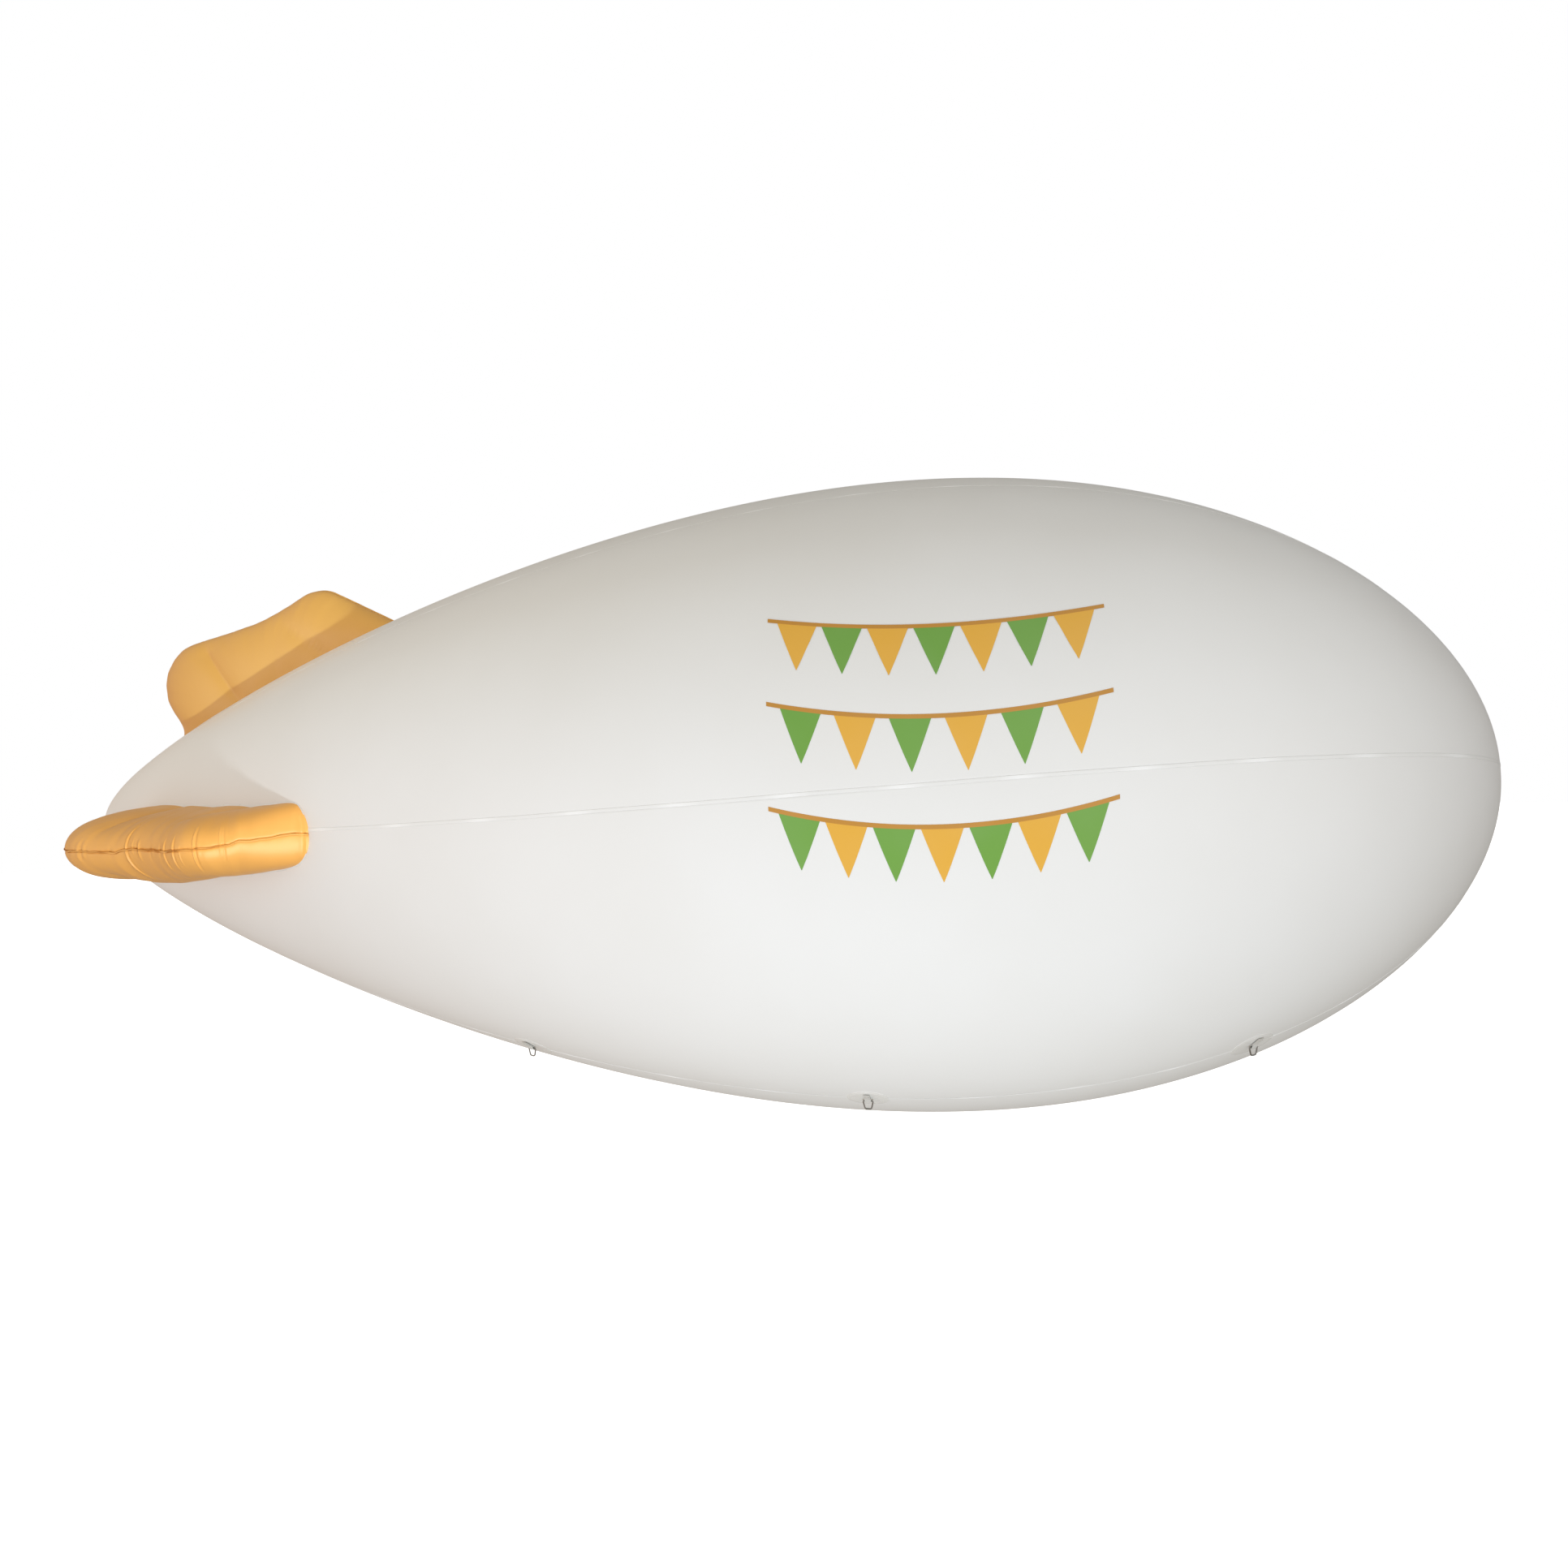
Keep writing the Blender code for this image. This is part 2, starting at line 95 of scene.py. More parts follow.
def length_property(name, value, description):
    return FloatProperty(name=name, description=description, default=value, unit="LENGTH", precision=5)


def angle_property(name, degrees, description):
    return FloatProperty(name=name, description=description, default=math.radians(degrees), unit="ROTATION")


def colour_property(name, text, description):
    return StringProperty(name=name, description=description + ", as an sRGB hex value", default=text)


class BlimpEnvelope(bpy.types.PropertyGroup):
    """Sizes of the film envelope and its welds."""

    hull_length: length_property("Length", 5.0, "Nose tip to tail tip")
    nose_x: length_property("Nose", 2.16, "Nose tip ahead of the centre of buoyancy")
    film: length_property("Film", 0.0012, "Thickness that the film is drawn with")
    seam_at_nose: angle_property("Seam at nose", 10.0, "Bearing of the starboard seam at the nose")
    seam_twist: angle_property("Twist", 12.2, "How far the gores turn down from nose to tail")
    pole_hole: length_property("Pole hole", 0.045, "Radius at which the gores end under each cap")
    cap_radius: length_property("Cap", 0.085, "Radius of the round that closes each pole")
    weld_half: length_property("Weld half width", 0.0050, "Half the width of a welded seam")
    weld_height: length_property("Weld height", 0.0003, "How far a welded seam stands up")
    pinch: length_property("Pinch", 0.0007, "How far the film is drawn in at a seam")
    pinch_reach: length_property("Pinch reach", 0.055, "How far from the seam the film is drawn in")
    pucker: length_property("Pucker", 0.0008, "Height of the largest puckers across a seam")


class BlimpFins(bpy.types.PropertyGroup):
    """Sizes of the inflated fins."""

    half_thickness: length_property("Half thickness", 0.130, "From a fin's mid plane to its skin")
    rim: length_property("Rim", 0.0006, "Half the thickness of the welded rim")
    film: length_property("Film", 0.0010, "Thickness that the film is drawn with")
    flange: length_property("Flange", 0.0045, "Width of the weld that holds a fin to the envelope")
    columns: IntProperty(name="Columns", description="Points round the near fin's outline", default=640)
    rings: IntProperty(name="Rings", description="Rings from the near fin's middle to its rim", default=44)


class BlimpTethers(bpy.types.PropertyGroup):
    """Sizes of the patches, webbing loops and rings."""

    patch_radius: length_property("Patch", 0.065, "Radius of a welded patch")
    patch_film: length_property("Patch film", 0.0015, "Height of a patch over the skin")
    webbing_width: length_property("Webbing width", 0.020, "Width of the strap")
    webbing_ply: length_property("Webbing ply", 0.0020, "Thickness of one ply")
    webbing_tail: length_property("Webbing tail", 0.045, "Length of the sewn tail from the bar")
    wire: length_property("Wire", 0.00225, "Radius of the ring's wire")
    bar_half: length_property("Bar half length", 0.01575, "Half the ring's straight bar, at its corners")
    bow_half: length_property("Bow half width", 0.0095, "Half the ring's bow, at its corners")
    depth: length_property("Depth", 0.025, "From the bar to the bow, between wire centres")
    play: length_property("Play", 0.00055, "Room between the wire and the webbing")


class BlimpValve(bpy.types.PropertyGroup):
    """Sizes of the filling valve."""

    station: FloatProperty(name="Station", description="Share of the length behind the nose", default=0.72)
    bearing: angle_property("Bearing", 256.0, "Bearing of the valve")
    flange_radius: length_property("Flange", 0.055, "Radius of the welded flange")
    radius: length_property("Body", 0.024, "Radius of the valve's body")
    foot_radius: length_property("Foot", 0.034, "Radius of the foot on the flange")
    height: length_property("Height", 0.024, "Height of the body over the skin")
    socket_radius: length_property("Socket", 0.014, "Radius of the hose socket")
    socket_depth: length_property("Socket depth", 0.016, "Depth of the hose socket")
    lid_radius: length_property("Lid", 0.022, "Radius of the lid")
    lid_thickness: length_property("Lid thickness", 0.003, "Thickness of the lid")
    hinge_reach: length_property("Hinge reach", 0.0275, "From the valve's middle to its hinge")
    hinge_radius: length_property("Hinge radius", 0.0024, "Radius of the hinge knuckle")
    hinge_width: length_property("Hinge width", 0.010, "Width of the hinge knuckle")


class BlimpPrint(bpy.types.PropertyGroup):
    """Sizes of the printed bunting on each flank."""

    middle_x: length_property("Middle", 0.36, "Middle of the print along the envelope")
    row_width: length_property("Row width", 0.86, "Length of a row of pennants")
    sag: length_property("Sag", 0.055, "How far the middle of a row hangs below its ends")
    pennant_width: length_property("Pennant width", 0.112, "Width of a pennant at its top")
    pennant_height: length_property("Pennant height", 0.145, "Height of a pennant")
    film: length_property("Film", 0.0003, "How far the printed film stands over the skin")


class BlimpColours(bpy.types.PropertyGroup):
    """Colours of the finishes."""

    white_film: colour_property("White film", "#F1F1EF", "Calendered white PVC film")
    white_film_shade: colour_property("White film shade", "#EBEAE6", "Its slightly greyer clouds")
    # The weld colour is a painted glint, laid where two presses overlap along a seam for the light that the
    # welds catch there
    weld: colour_property("Weld", "#F8F8F6", "White film where it was fused twice, a little whiter")
    golden_film: colour_property("Golden film", "#E4A856", "Calendered golden PVC film")
    golden_film_deep: colour_property("Golden film deep", "#DB9D4B", "Its deeper clouds")
    patch_film: colour_property("Patch film", "#EEEDE8", "Welded patch film")
    webbing: colour_property("Webbing", "#E4E3DE", "White polyester webbing")
    thread: colour_property("Thread", "#D9D7CF", "Sewing thread")
    steel: colour_property("Steel", "#9C9B98", "Nickel-plated steel")
    moulding: colour_property("Moulding", "#E6E5E0", "White moulded PVC")
    amber_print: colour_property("Amber print", "#E9B036", "Amber cut vinyl")
    green_print: colour_property("Green print", "#6FA53C", "Green cut vinyl")
    cord_print: colour_property("Cord print", "#C58A2A", "Line that the pennants hang from")


class BlimpStage(bpy.types.PropertyGroup):
    """Camera, floor and lights."""

    camera_place: FloatVectorProperty(
        name="Camera", description="Where the camera stands", default=(0.3045, -3.8401, 0.2759), unit="LENGTH"
    )
    camera_turn: FloatVectorProperty(
        name="Camera turn",
        description="How the camera is turned",
        default=tuple(math.radians(a) for a in (86.759, 2.559, 7.026)),
        subtype="EULER",
    )
    lens: FloatProperty(
        name="Lens", description="Focal length in millimetres on a 36 mm sensor", default=24.61
    )
    floor_height: length_property("Floor", -5.2, "Height of the floor below the balloon's axis")
    key_power: FloatProperty(name="Key", description="Power of the soft key light in watts", default=93.0)
    room_strength: FloatProperty(name="Room", description="Strength of the studio's pale walls", default=1.0)


def envelope():
    return bpy.context.scene.blimp_envelope


def colour(name):
    """One of the colours, as linear RGBA."""
    return linear(getattr(bpy.context.scene.blimp_colours, name))


def linear(text):
    """An sRGB hex value as linear RGBA."""
    shares = [int(text[i : i + 2], 16) / 255 for i in (1, 3, 5)]
    light = [s / 12.92 if s <= 0.04045 else ((s + 0.055) / 1.055) ** 2.4 for s in shares]
    return (*light, 1.0)


# The envelope's shape


def hull_radius(station):
    station = np.clip(station, 0.0, 1.0)
    shape = sum(c * station**power for power, c in enumerate(PROFILE))
    return envelope().hull_length * np.sqrt(np.maximum(station * (1 - station) * shape, 0.0))


def hull_normal(station):
    """Outward normal of the envelope's side line, as (along +X, away from the axis)."""
    low, high = (np.clip(np.asarray(station, float) + step, 0.0, 1.0) for step in (-1e-5, 1e-5))
    run = (high - low) * envelope().hull_length
    rise = hull_radius(high) - hull_radius(low)
    length = np.hypot(run, rise)
    return rise / length, run / length


def station_of(x):
    return (envelope().nose_x - x) / envelope().hull_length


def seam_bearing(station):
    """How far the gores are turned at a station, in degrees above the starboard line."""
    sizes = envelope()
    return math.degrees(sizes.seam_at_nose) - math.degrees(sizes.seam_twist) * station


def on_skin(station, bearing, outward):
    """Points that far outside the envelope's plain skin."""
    station = np.asarray(station, float)
    angle = np.radians(bearing)
    along, away = hull_normal(station)
    x = envelope().nose_x - station * envelope().hull_length + outward * along
    radius = hull_radius(station) + outward * away
    return np.stack((x, -radius * np.cos(angle), radius * np.sin(angle)), axis=-1)


def hull_frame(station, bearing):
    """A frame on the envelope's skin: X level and along the skin, Y up along it, Z outward."""
    along, away = hull_normal(station)
    angle = math.radians(bearing)
    normal = Vector((along, -away * math.cos(angle), away * math.sin(angle)))
    level = Vector((0, 0, 1)).cross(normal).normalized()
    turned_frame = Matrix((level, normal.cross(level), normal)).transposed().to_4x4()
    turned_frame.translation = Vector(on_skin(station, bearing, 0.0))
    return turned_frame


def tether_places():
    """(name, station, bearing) of the six tether points."""
    for flank, seam in TETHER_SEAMS.items():
        for place, station in TETHER_STATIONS.items():
            yield f"{flank}_{place}", station, seam * SEAM_ANGLE + seam_bearing(station)


# Puckers across each seam: their places, half widths, reaches and heights come from a seeded draw
PUCKERS_PER_SEAM = 46
PUCKER_HALF_WIDTHS = (0.010, 0.026)
PUCKER_REACHES = (0.012, 0.050)
# Stations between which they lie, and their height's share of the largest, drawn twice over
PUCKER_SPAN = (0.02, 0.985)
PUCKER_SIGNED = (-1.0, 0.9)
PUCKER_SHARES = (0.2, 1.0)
PUCKER_LEAN = 0.35
PUCKER_SHIFT = 0.012
# Radius below which, near the poles, the seams crowd together and the film lies flatter
CROWDED_RADIUS = 0.35
# The least radius that the relief reckons with, so that the seams don't meet in a point
LEAST_RADIUS = 0.02


def seam_puckers():
    """For each seam, columns of (place behind the nose, half width, reach, height, lean, side shift)."""
    draw = np.random.default_rng(seed=7)
    length = envelope().hull_length
    count = PUCKERS_PER_SEAM
    for _ in range(SEAM_COUNT):
        place = draw.uniform(*PUCKER_SPAN, count) * length
        half_width = draw.uniform(*PUCKER_HALF_WIDTHS, count)
        reach = draw.uniform(*PUCKER_REACHES, count)
        signed = draw.uniform(*PUCKER_SIGNED, count)
        height = envelope().pucker * signed * draw.uniform(*PUCKER_SHARES, count)
        lean = draw.uniform(-PUCKER_LEAN, PUCKER_LEAN, count)
        shift = draw.uniform(-PUCKER_SHIFT, PUCKER_SHIFT, count)
        yield np.stack((place, half_width, reach, height, lean, shift), axis=-1)


def skin_relief(station, bearing):
    """How far the film lies outside the plain skin: drawn in along the seams, puckered across them."""
    sizes = envelope()
    station, bearing = np.broadcast_arrays(np.asarray(station, float), np.asarray(bearing, float))
    behind = station * sizes.hull_length
    radius = np.maximum(hull_radius(station), LEAST_RADIUS)
    calm = np.clip(radius / CROWDED_RADIUS, 0.0, 1.0)
    relief = np.zeros(station.shape)
    for seam, puckers in enumerate(seam_puckers()):
        turn = bearing - seam_bearing(station) - seam * SEAM_ANGLE
        across = np.radians((turn + 180) % 360 - 180) * radius
        relief -= calm * sizes.pinch * np.exp(-np.abs(across) / sizes.pinch_reach)
        near = np.abs(across) < 3 * PUCKER_REACHES[1]
        here, aside = behind[near], across[near]
        for place, half_width, reach, height, lean, shift in puckers:
            along = (here - place - lean * aside) / half_width
            relief[near] += calm[near] * height * np.exp(-(along**2) - ((aside - shift) / reach) ** 2)
    return relief


# Modelling helpers


def deselect():
    if bpy.context.object and bpy.context.object.mode != "OBJECT":
        bpy.ops.object.mode_set(mode="OBJECT")
    bpy.ops.object.select_all(action="DESELECT")


def named(obj, name):
    obj.name = name
    obj.data.name = name
    return obj


def begin(name):
    """Names the primitive that was just added."""
    return named(bpy.context.object, name)


def vectors_of(items, key):
    """One vector of each vertex, normal or face of a mesh, as rows."""
    flat = np.empty(len(items) * 3, np.float32)
    items.foreach_get(key, flat)
    return flat.reshape(-1, 3).astype(float)


def points_of(obj):
    return vectors_of(obj.data.vertices, "co")


def place_points(obj, points):
    obj.data.vertices.foreach_set("co", np.ascontiguousarray(points, np.float32).ravel())
    obj.data.update()


def moved_by(frame_matrix, points):
    """Points of a frame of their own, in the row frame."""
    turned = np.array(frame_matrix)
    return points @ turned[:3, :3].T + turned[:3, 3]


def rotated(first, second, angle):
    """Two coordinates of some points, turned by an angle from the first towards the second."""
    cos, sin = math.cos(angle), math.sin(angle)
    return first * cos - second * sin, first * sin + second * cos


def run_along(line):
    """Distance from a line's start to each of its points."""
    steps = np.linalg.norm(np.diff(line, axis=0), axis=1)
    return np.concatenate(([0.0], np.cumsum(steps)))


def points_along(line, distance):
    """Points at these distances along a line."""
    run = run_along(line)
    return np.stack([np.interp(distance, run, column) for column in np.transpose(line)], axis=-1)


def read_off(rows, value):
    """Reads a table of (place, value) rows, straight between the rows."""
    return np.interp(value, *np.transpose(rows))


def bell(offset, width, power=2):
    return np.exp(-(np.abs(offset / width) ** power))


def activate(obj):
    deselect()
    obj.select_set(True)
    bpy.context.view_layer.objects.active = obj


def edit(obj):
    activate(obj)
    bpy.ops.object.mode_set(mode="EDIT")
    bpy.ops.mesh.select_all(action="SELECT")


def drawn_line(name, points):
    """A line drawn by extruding one point from place to place. It stays in edit mode, all selected."""
    deselect()
    bpy.ops.mesh.primitive_plane_add(size=0.001, location=points[0])
    obj = begin(name)
    edit(obj)
    bpy.ops.mesh.merge(type="CENTER")
    for start, end in zip(points, points[1:]):
        step = Vector(end) - Vector(start)
        bpy.ops.mesh.extrude_region_move(TRANSFORM_OT_translate={"value": step})
    bpy.ops.mesh.select_all(action="SELECT")
    return obj


def grid_sheet(name, steps, rows):
    """A flat grid, with each point's share of the way along it and across it."""
    deselect()
    bpy.ops.mesh.primitive_grid_add(x_subdivisions=steps, y_subdivisions=rows, size=2.0)
    sheet = begin(name)
    share = (points_of(sheet) + 1) / 2
    return sheet, share[:, 0], share[:, 1]


def outward_normals(obj):
    edit(obj)
    bpy.ops.mesh.remove_doubles(threshold=1e-6)
    bpy.ops.mesh.normals_make_consistent(inside=False)
    bpy.ops.object.mode_set(mode="OBJECT")


def face_towards(sheet, way):
    """Turns an open sheet's faces to look this way, which is one vector or a row for each face."""
    if (vectors_of(sheet.data.polygons, "normal") * way).sum() < 0:
        edit(sheet)
        bpy.ops.mesh.flip_normals()
        bpy.ops.object.mode_set(mode="OBJECT")


def settle_object(obj):
    """Moves the object's place into its mesh."""
    activate(obj)
    bpy.ops.object.transform_apply(location=True, rotation=True, scale=True)


def with_modifier(obj, kind, **settings):
    """Adds a modifier and applies it."""
    activate(obj)
    modifier = obj.modifiers.new(kind.title(), kind)
    for key, value in settings.items():
        setattr(modifier, key, value)
    bpy.ops.object.modifier_apply(modifier=modifier.name)


def thickened(obj, thickness, offset=-1.0):
    """Gives a sheet its thickness: inwards, or half to each side at an offset of 0."""
    with_modifier(obj, "SOLIDIFY", thickness=thickness, offset=offset)


def copied(obj, name, points):
    """A copy of a piece with its own mesh and these points."""
    made = named(bpy.data.objects.new(name, obj.data.copy()), name)
    bpy.context.scene.collection.objects.link(made)
    place_points(made, points)
    return made


def joined(pieces, name):
    deselect()
    for piece in pieces:
        piece.select_set(True)
    bpy.context.view_layer.objects.active = pieces[0]
    bpy.ops.object.join()
    return begin(name)


def finished(obj, finish, body="envelope", nodes=(), smooth_angle=None):
    """Shades a piece, gives it its finish and ties it to the frame."""
    activate(obj)
    if smooth_angle is None:
        bpy.ops.object.shade_smooth()
    else:
        bpy.ops.object.shade_smooth_by_angle(angle=math.radians(smooth_angle))
    obj.data.materials.clear()
    obj.data.materials.append(finish)
    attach(obj, body)
    if nodes:
        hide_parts(*nodes)
    return obj


# Finishes


def fill(node, values):
    """Gives a node's inputs and settings their values. An output is linked to the input it is for."""
    for key, value in values.items():
        if isinstance(value, bpy.types.NodeSocket):
            node.id_data.links.new(value, node.inputs[key])
        elif isinstance(key, int) or key in node.inputs:
            node.inputs[key].default_value = value
        else:
            setattr(node, key, value)
    return node


def add_node(tree, kind, values):
    return fill(tree.nodes.new("ShaderNode" + kind), values)


def object_place(tree):
    return add_node(tree, "TexCoord", {}).outputs["Object"]


def noise(tree, place, scale, detail, distortion=0.0):
    values = {"Vector": place, "Scale": scale, "Detail": detail, "Distortion": distortion}
    return add_node(tree, "TexNoise", values).outputs["Fac"]


def bands(tree, place, way, scale, distortion=0.0):
    """Even soft bands along X, Y or the diagonal."""
    values = {"wave_type": "BANDS", "bands_direction": way, "Vector": place, "Scale": scale}
    return add_node(tree, "TexWave", {**values, "Distortion": distortion}).outputs["Fac"]


def mixed(tree, share, first, second):
    values = {"data_type": "RGBA", 0: share, 6: first, 7: second}
    return add_node(tree, "Mix", values).outputs[2]


def between(tree, share, low, high):
    """A number between two others, by a share of 0 to 1."""
    return add_node(tree, "MapRange", {"Value": share, "To Min": low, "To Max": high}).outputs["Result"]


def calculated(tree, operation, first, second):
    return add_node(tree, "Math", {"operation": operation, 0: first, 1: second}).outputs["Value"]


def along_way(tree, place, way):
    """How far a place lies along a way."""
    values = {"operation": "DOT_PRODUCT", 0: place, 1: way}
    return add_node(tree, "VectorMath", values).outputs["Value"]


def embossed(tree, height, strength, distance, under=None):
    """A bump of that height in metres, on top of another where one is given."""
    values = {"Height": height, "Strength": strength, "Distance": distance}
    if under is not None:
        values["Normal"] = under
    return add_node(tree, "Bump", values).outputs["Normal"]


def new_finish(name):
    """A material with its node tree and its Principled shader."""
    made = bpy.data.materials.new(name)
    made.use_nodes = True
    return made, made.node_tree, made.node_tree.nodes["Principled BSDF"]


PVC_IOR = 1.53


def calendered_film(name, tone, deep_tone, rough, shine=0.5):
    """PVC film rolled smooth between hot cylinders: satin gloss, faint clouds and a slight orange peel.

    The peel of real film is about 2 mm across. It is drawn at 9 mm and 45 mm, so that it shows from afar.
    """
    made, tree, shader = new_finish(name)
    place = object_place(tree)
    swell = embossed(tree, noise(tree, place, scale=22.0, detail=2.0), strength=0.35, distance=0.0008)
    grain = noise(tree, place, scale=110.0, detail=2.0)
    peel = embossed(tree, grain, strength=0.25, distance=0.0002, under=swell)
    cloud = noise(tree, place, scale=2.2, detail=3.0)
    gloss = noise(tree, place, scale=14.0, detail=4.0)
    fill(shader, {"Base Color": mixed(tree, cloud, colour(tone), colour(deep_tone)), "Normal": peel})
    fill(shader, {"Roughness": between(tree, gloss, rough - 0.05, rough + 0.06)})
    fill(shader, {"IOR": PVC_IOR, "Specular IOR Level": shine})
    return made


def white_film(name, rough):
    return calendered_film(name, "white_film", "white_film_shade", rough)


# A seam is pressed bar length by bar length: the way and length of one press, and where two overlap
PRESS_WAY = (1.0, 0.0, 0.5)
PRESS_LENGTH = 0.31
PRESS_OVERLAP = 0.080
PRESS_FADE = 0.030


def welded_film(name, rough, press_glints=False):
    """White film pressed by a high-frequency weld bar, which leaves fine ribs across the seam.

    U runs along the weld. The ribs are 2 mm apart on the real bar and are drawn 5 mm apart.
    Where press glints are asked for, the film is painted whiter where two presses overlap: a painted glint
    for the light that the welds catch there.
    """
    made = white_film(name, rough)
    tree = made.node_tree
    shader = tree.nodes["Principled BSDF"]
    tint, peel = (shader.inputs[key].links[0].from_socket for key in ("Base Color", "Normal"))
    if press_glints:
        # Painted glints: the film is painted whiter where two presses overlap
        along = along_way(tree, object_place(tree), PRESS_WAY)
        off = calculated(tree, "PINGPONG", along, PRESS_LENGTH / 2)
        edges = {"From Min": PRESS_OVERLAP / 2 + PRESS_FADE, "From Max": PRESS_OVERLAP / 2 - PRESS_FADE}
        twice = add_node(tree, "MapRange", {"Value": off, **edges}).outputs["Result"]
        fill(shader, {"Base Color": mixed(tree, twice, tint, colour("weld"))})
    ribs = bands(tree, add_node(tree, "UVMap", {}).outputs["UV"], "X", scale=160.0, distortion=0.4)
    fill(shader, {"Normal": embossed(tree, ribs, strength=0.3, distance=0.0003, under=peel)})
    return made


# A wave texture of this scale has its bands 1 m apart
BANDS_PER_METRE = 2 * math.pi / 20
WEFT_PITCH = 0.0016
WARP_PITCH = 0.0011


def polyester_webbing():
    """Plain-woven polyester strap: matt, with 1.6 mm ribs of yarn across it and a fine warp along it."""
    made, tree, shader = new_finish("woven polyester webbing")
    sizes = bpy.context.scene.blimp_tethers
    flat = add_node(tree, "UVMap", {}).outputs["UV"]
    size = (2 * sizes.webbing_tail, sizes.webbing_width, 1.0)
    place = add_node(tree, "Mapping", {"Vector": flat, "Scale": size}).outputs["Vector"]
    weft = bands(tree, place, "X", BANDS_PER_METRE / WEFT_PITCH)
    warp = bands(tree, place, "Y", BANDS_PER_METRE / WARP_PITCH)
    cross = calculated(tree, "MULTIPLY", weft, warp)
    # Painted shade: the weave is painted darker where it is low, between the yarns
    fill(shader, {"Base Color": mixed(tree, cross, linear("#C9C7C0"), colour("webbing"))})
    fill(shader, {"Normal": embossed(tree, cross, strength=0.8, distance=0.0004)})
    fill(shader, {"Roughness": 0.82, "Sheen Weight": 0.25})
    return made


def polyester_thread():
    """Bonded sewing thread: slightly glossy, with its twist's fine slanting ribs drawn only as painted light
    and shade, in lighter and darker bands.
    """
    made, tree, shader = new_finish("bonded polyester thread")
    twist = bands(tree, object_place(tree), "DIAGONAL", scale=600.0)
    # Painted shade: the twist's ribs as darker bands in the colour
    fill(shader, {"Base Color": mixed(tree, twist, linear("#BDB9AE"), colour("thread")), "Roughness": 0.55})
    return made


def plated_steel():
    """Bright nickel on round steel wire: sharp grey reflections, dulled in patches by handling."""
    made, tree, shader = new_finish("nickel plated steel wire")
    place = object_place(tree)
    smudge = noise(tree, place, scale=160.0, detail=5.0)
    marks = noise(tree, place, scale=900.0, detail=2.0, distortion=1.5)
    scratches = embossed(tree, marks, strength=0.15, distance=0.00005)
    fill(shader, {"Base Color": mixed(tree, smudge, linear("#84837F"), colour("steel"))})
    gloss = between(tree, smudge, low=0.16, high=0.42)
    fill(shader, {"Roughness": gloss, "Normal": scratches, "Metallic": 1.0})
    return made


def moulded_pvc():
    """Injection-moulded PVC from a spark-eroded tool: even satin with a fine sandy grain."""
    made, tree, shader = new_finish("moulded white PVC")
    place = object_place(tree)
    grain = embossed(tree, noise(tree, place, scale=1400.0, detail=2.0), strength=0.25, distance=0.0001)
    cloud = noise(tree, place, scale=60.0, detail=2.0)
    fill(shader, {"Base Color": mixed(tree, cloud, colour("moulding"), linear("#DAD8D1"))})
    fill(shader, {"Normal": grain, "Roughness": 0.42, "IOR": PVC_IOR})
    return made


def cut_vinyl(name, tone):
    """Cast vinyl film, cut and stuck on: even colour, a satin shine and small bubbles under it."""
    made, tree, shader = new_finish(name)
    place = object_place(tree)
    bubbles = embossed(tree, noise(tree, place, scale=45.0, detail=2.0), strength=0.15, distance=0.0004)
    fade = between(tree, noise(tree, place, scale=5.0, detail=2.0), low=0.0, high=0.5)
    fresh = colour(tone)
    pale = (*(0.88 * share + 0.12 for share in fresh[:3]), 1.0)
    fill(shader, {"Base Color": mixed(tree, fade, fresh, pale), "Normal": bubbles})
    fill(shader, {"Roughness": 0.36, "IOR": 1.5})
    return made


# Stage

# The studio's soft walls: which way from the balloon, how sharply each fades to its sides, linear colour
SOFT_WALLS = (
    ((1, -1, 0), 5, (1.15, 1.05, 0.97)),
    ((-1, -1, 0), 5, (0.94, 0.91, 0.93)),
    ((1, -1, 1), 5, (0.51, 0.55, 0.59)),
    ((1, 0, 1), 5, (0.54, 0.55, 0.55)),
    ((-1, 0, 1), 5, (0.57, 0.55, 0.40)),
    ((-1, -1, 1), 5, (0.04, 0.11, 0.12)),
    ((-1, 0, 0), 2, (0.70, 0.51, 0.41)),
    ((0, 0, -1), 2, (0.37, 0.34, 0.27)),
    ((0, 1, 0), 2, (0.33, 0.30, 0.28)),
)
# The key light stands low ahead of the fins, so that the starboard fin shades the hull above it
KEY_AIM = (-1.7, -0.5, 0.05)
KEY_WAY = (0.42, -0.77, -0.48)
KEY_DISTANCE = 5.2
KEY_SIZE = 0.3
# Lamps for one fin alone each: the fin, which way from it, how far off, size, watts, colour, part
FIN_LAMPS = (
    ("starboard", (0.74, -0.62, 0.06), 3.0, 0.6, 54.0, "#FFFFFF", "fill"),
    ("starboard", (0.34, -0.72, -0.56), 3.0, 2.0, 98.0, "#F4F8FF", "sheen"),
    ("top", (0.60, -0.745, -0.29), 5.0, 0.1, 140.0, "#D0F2FA", "fill"),
    ("top", (0.75, -0.55, 0.35), 5.0, 0.5, 60.0, "#D8F2FA", "side"),
    ("top", (-0.50, -0.86, 0.11), 5.0, 2.0, 28.0, "#C8DFFF", "sheen"),
)
FIN_MIDDLES = {"starboard": (-1.90, -0.70, -0.03), "top": (-1.95, -0.10, 0.65)}
SENSOR_WIDTH = 36.0
SIGHT = 200.0
FLOOR_RADIUS = 60.0
WHITE = "#FFFFFF"


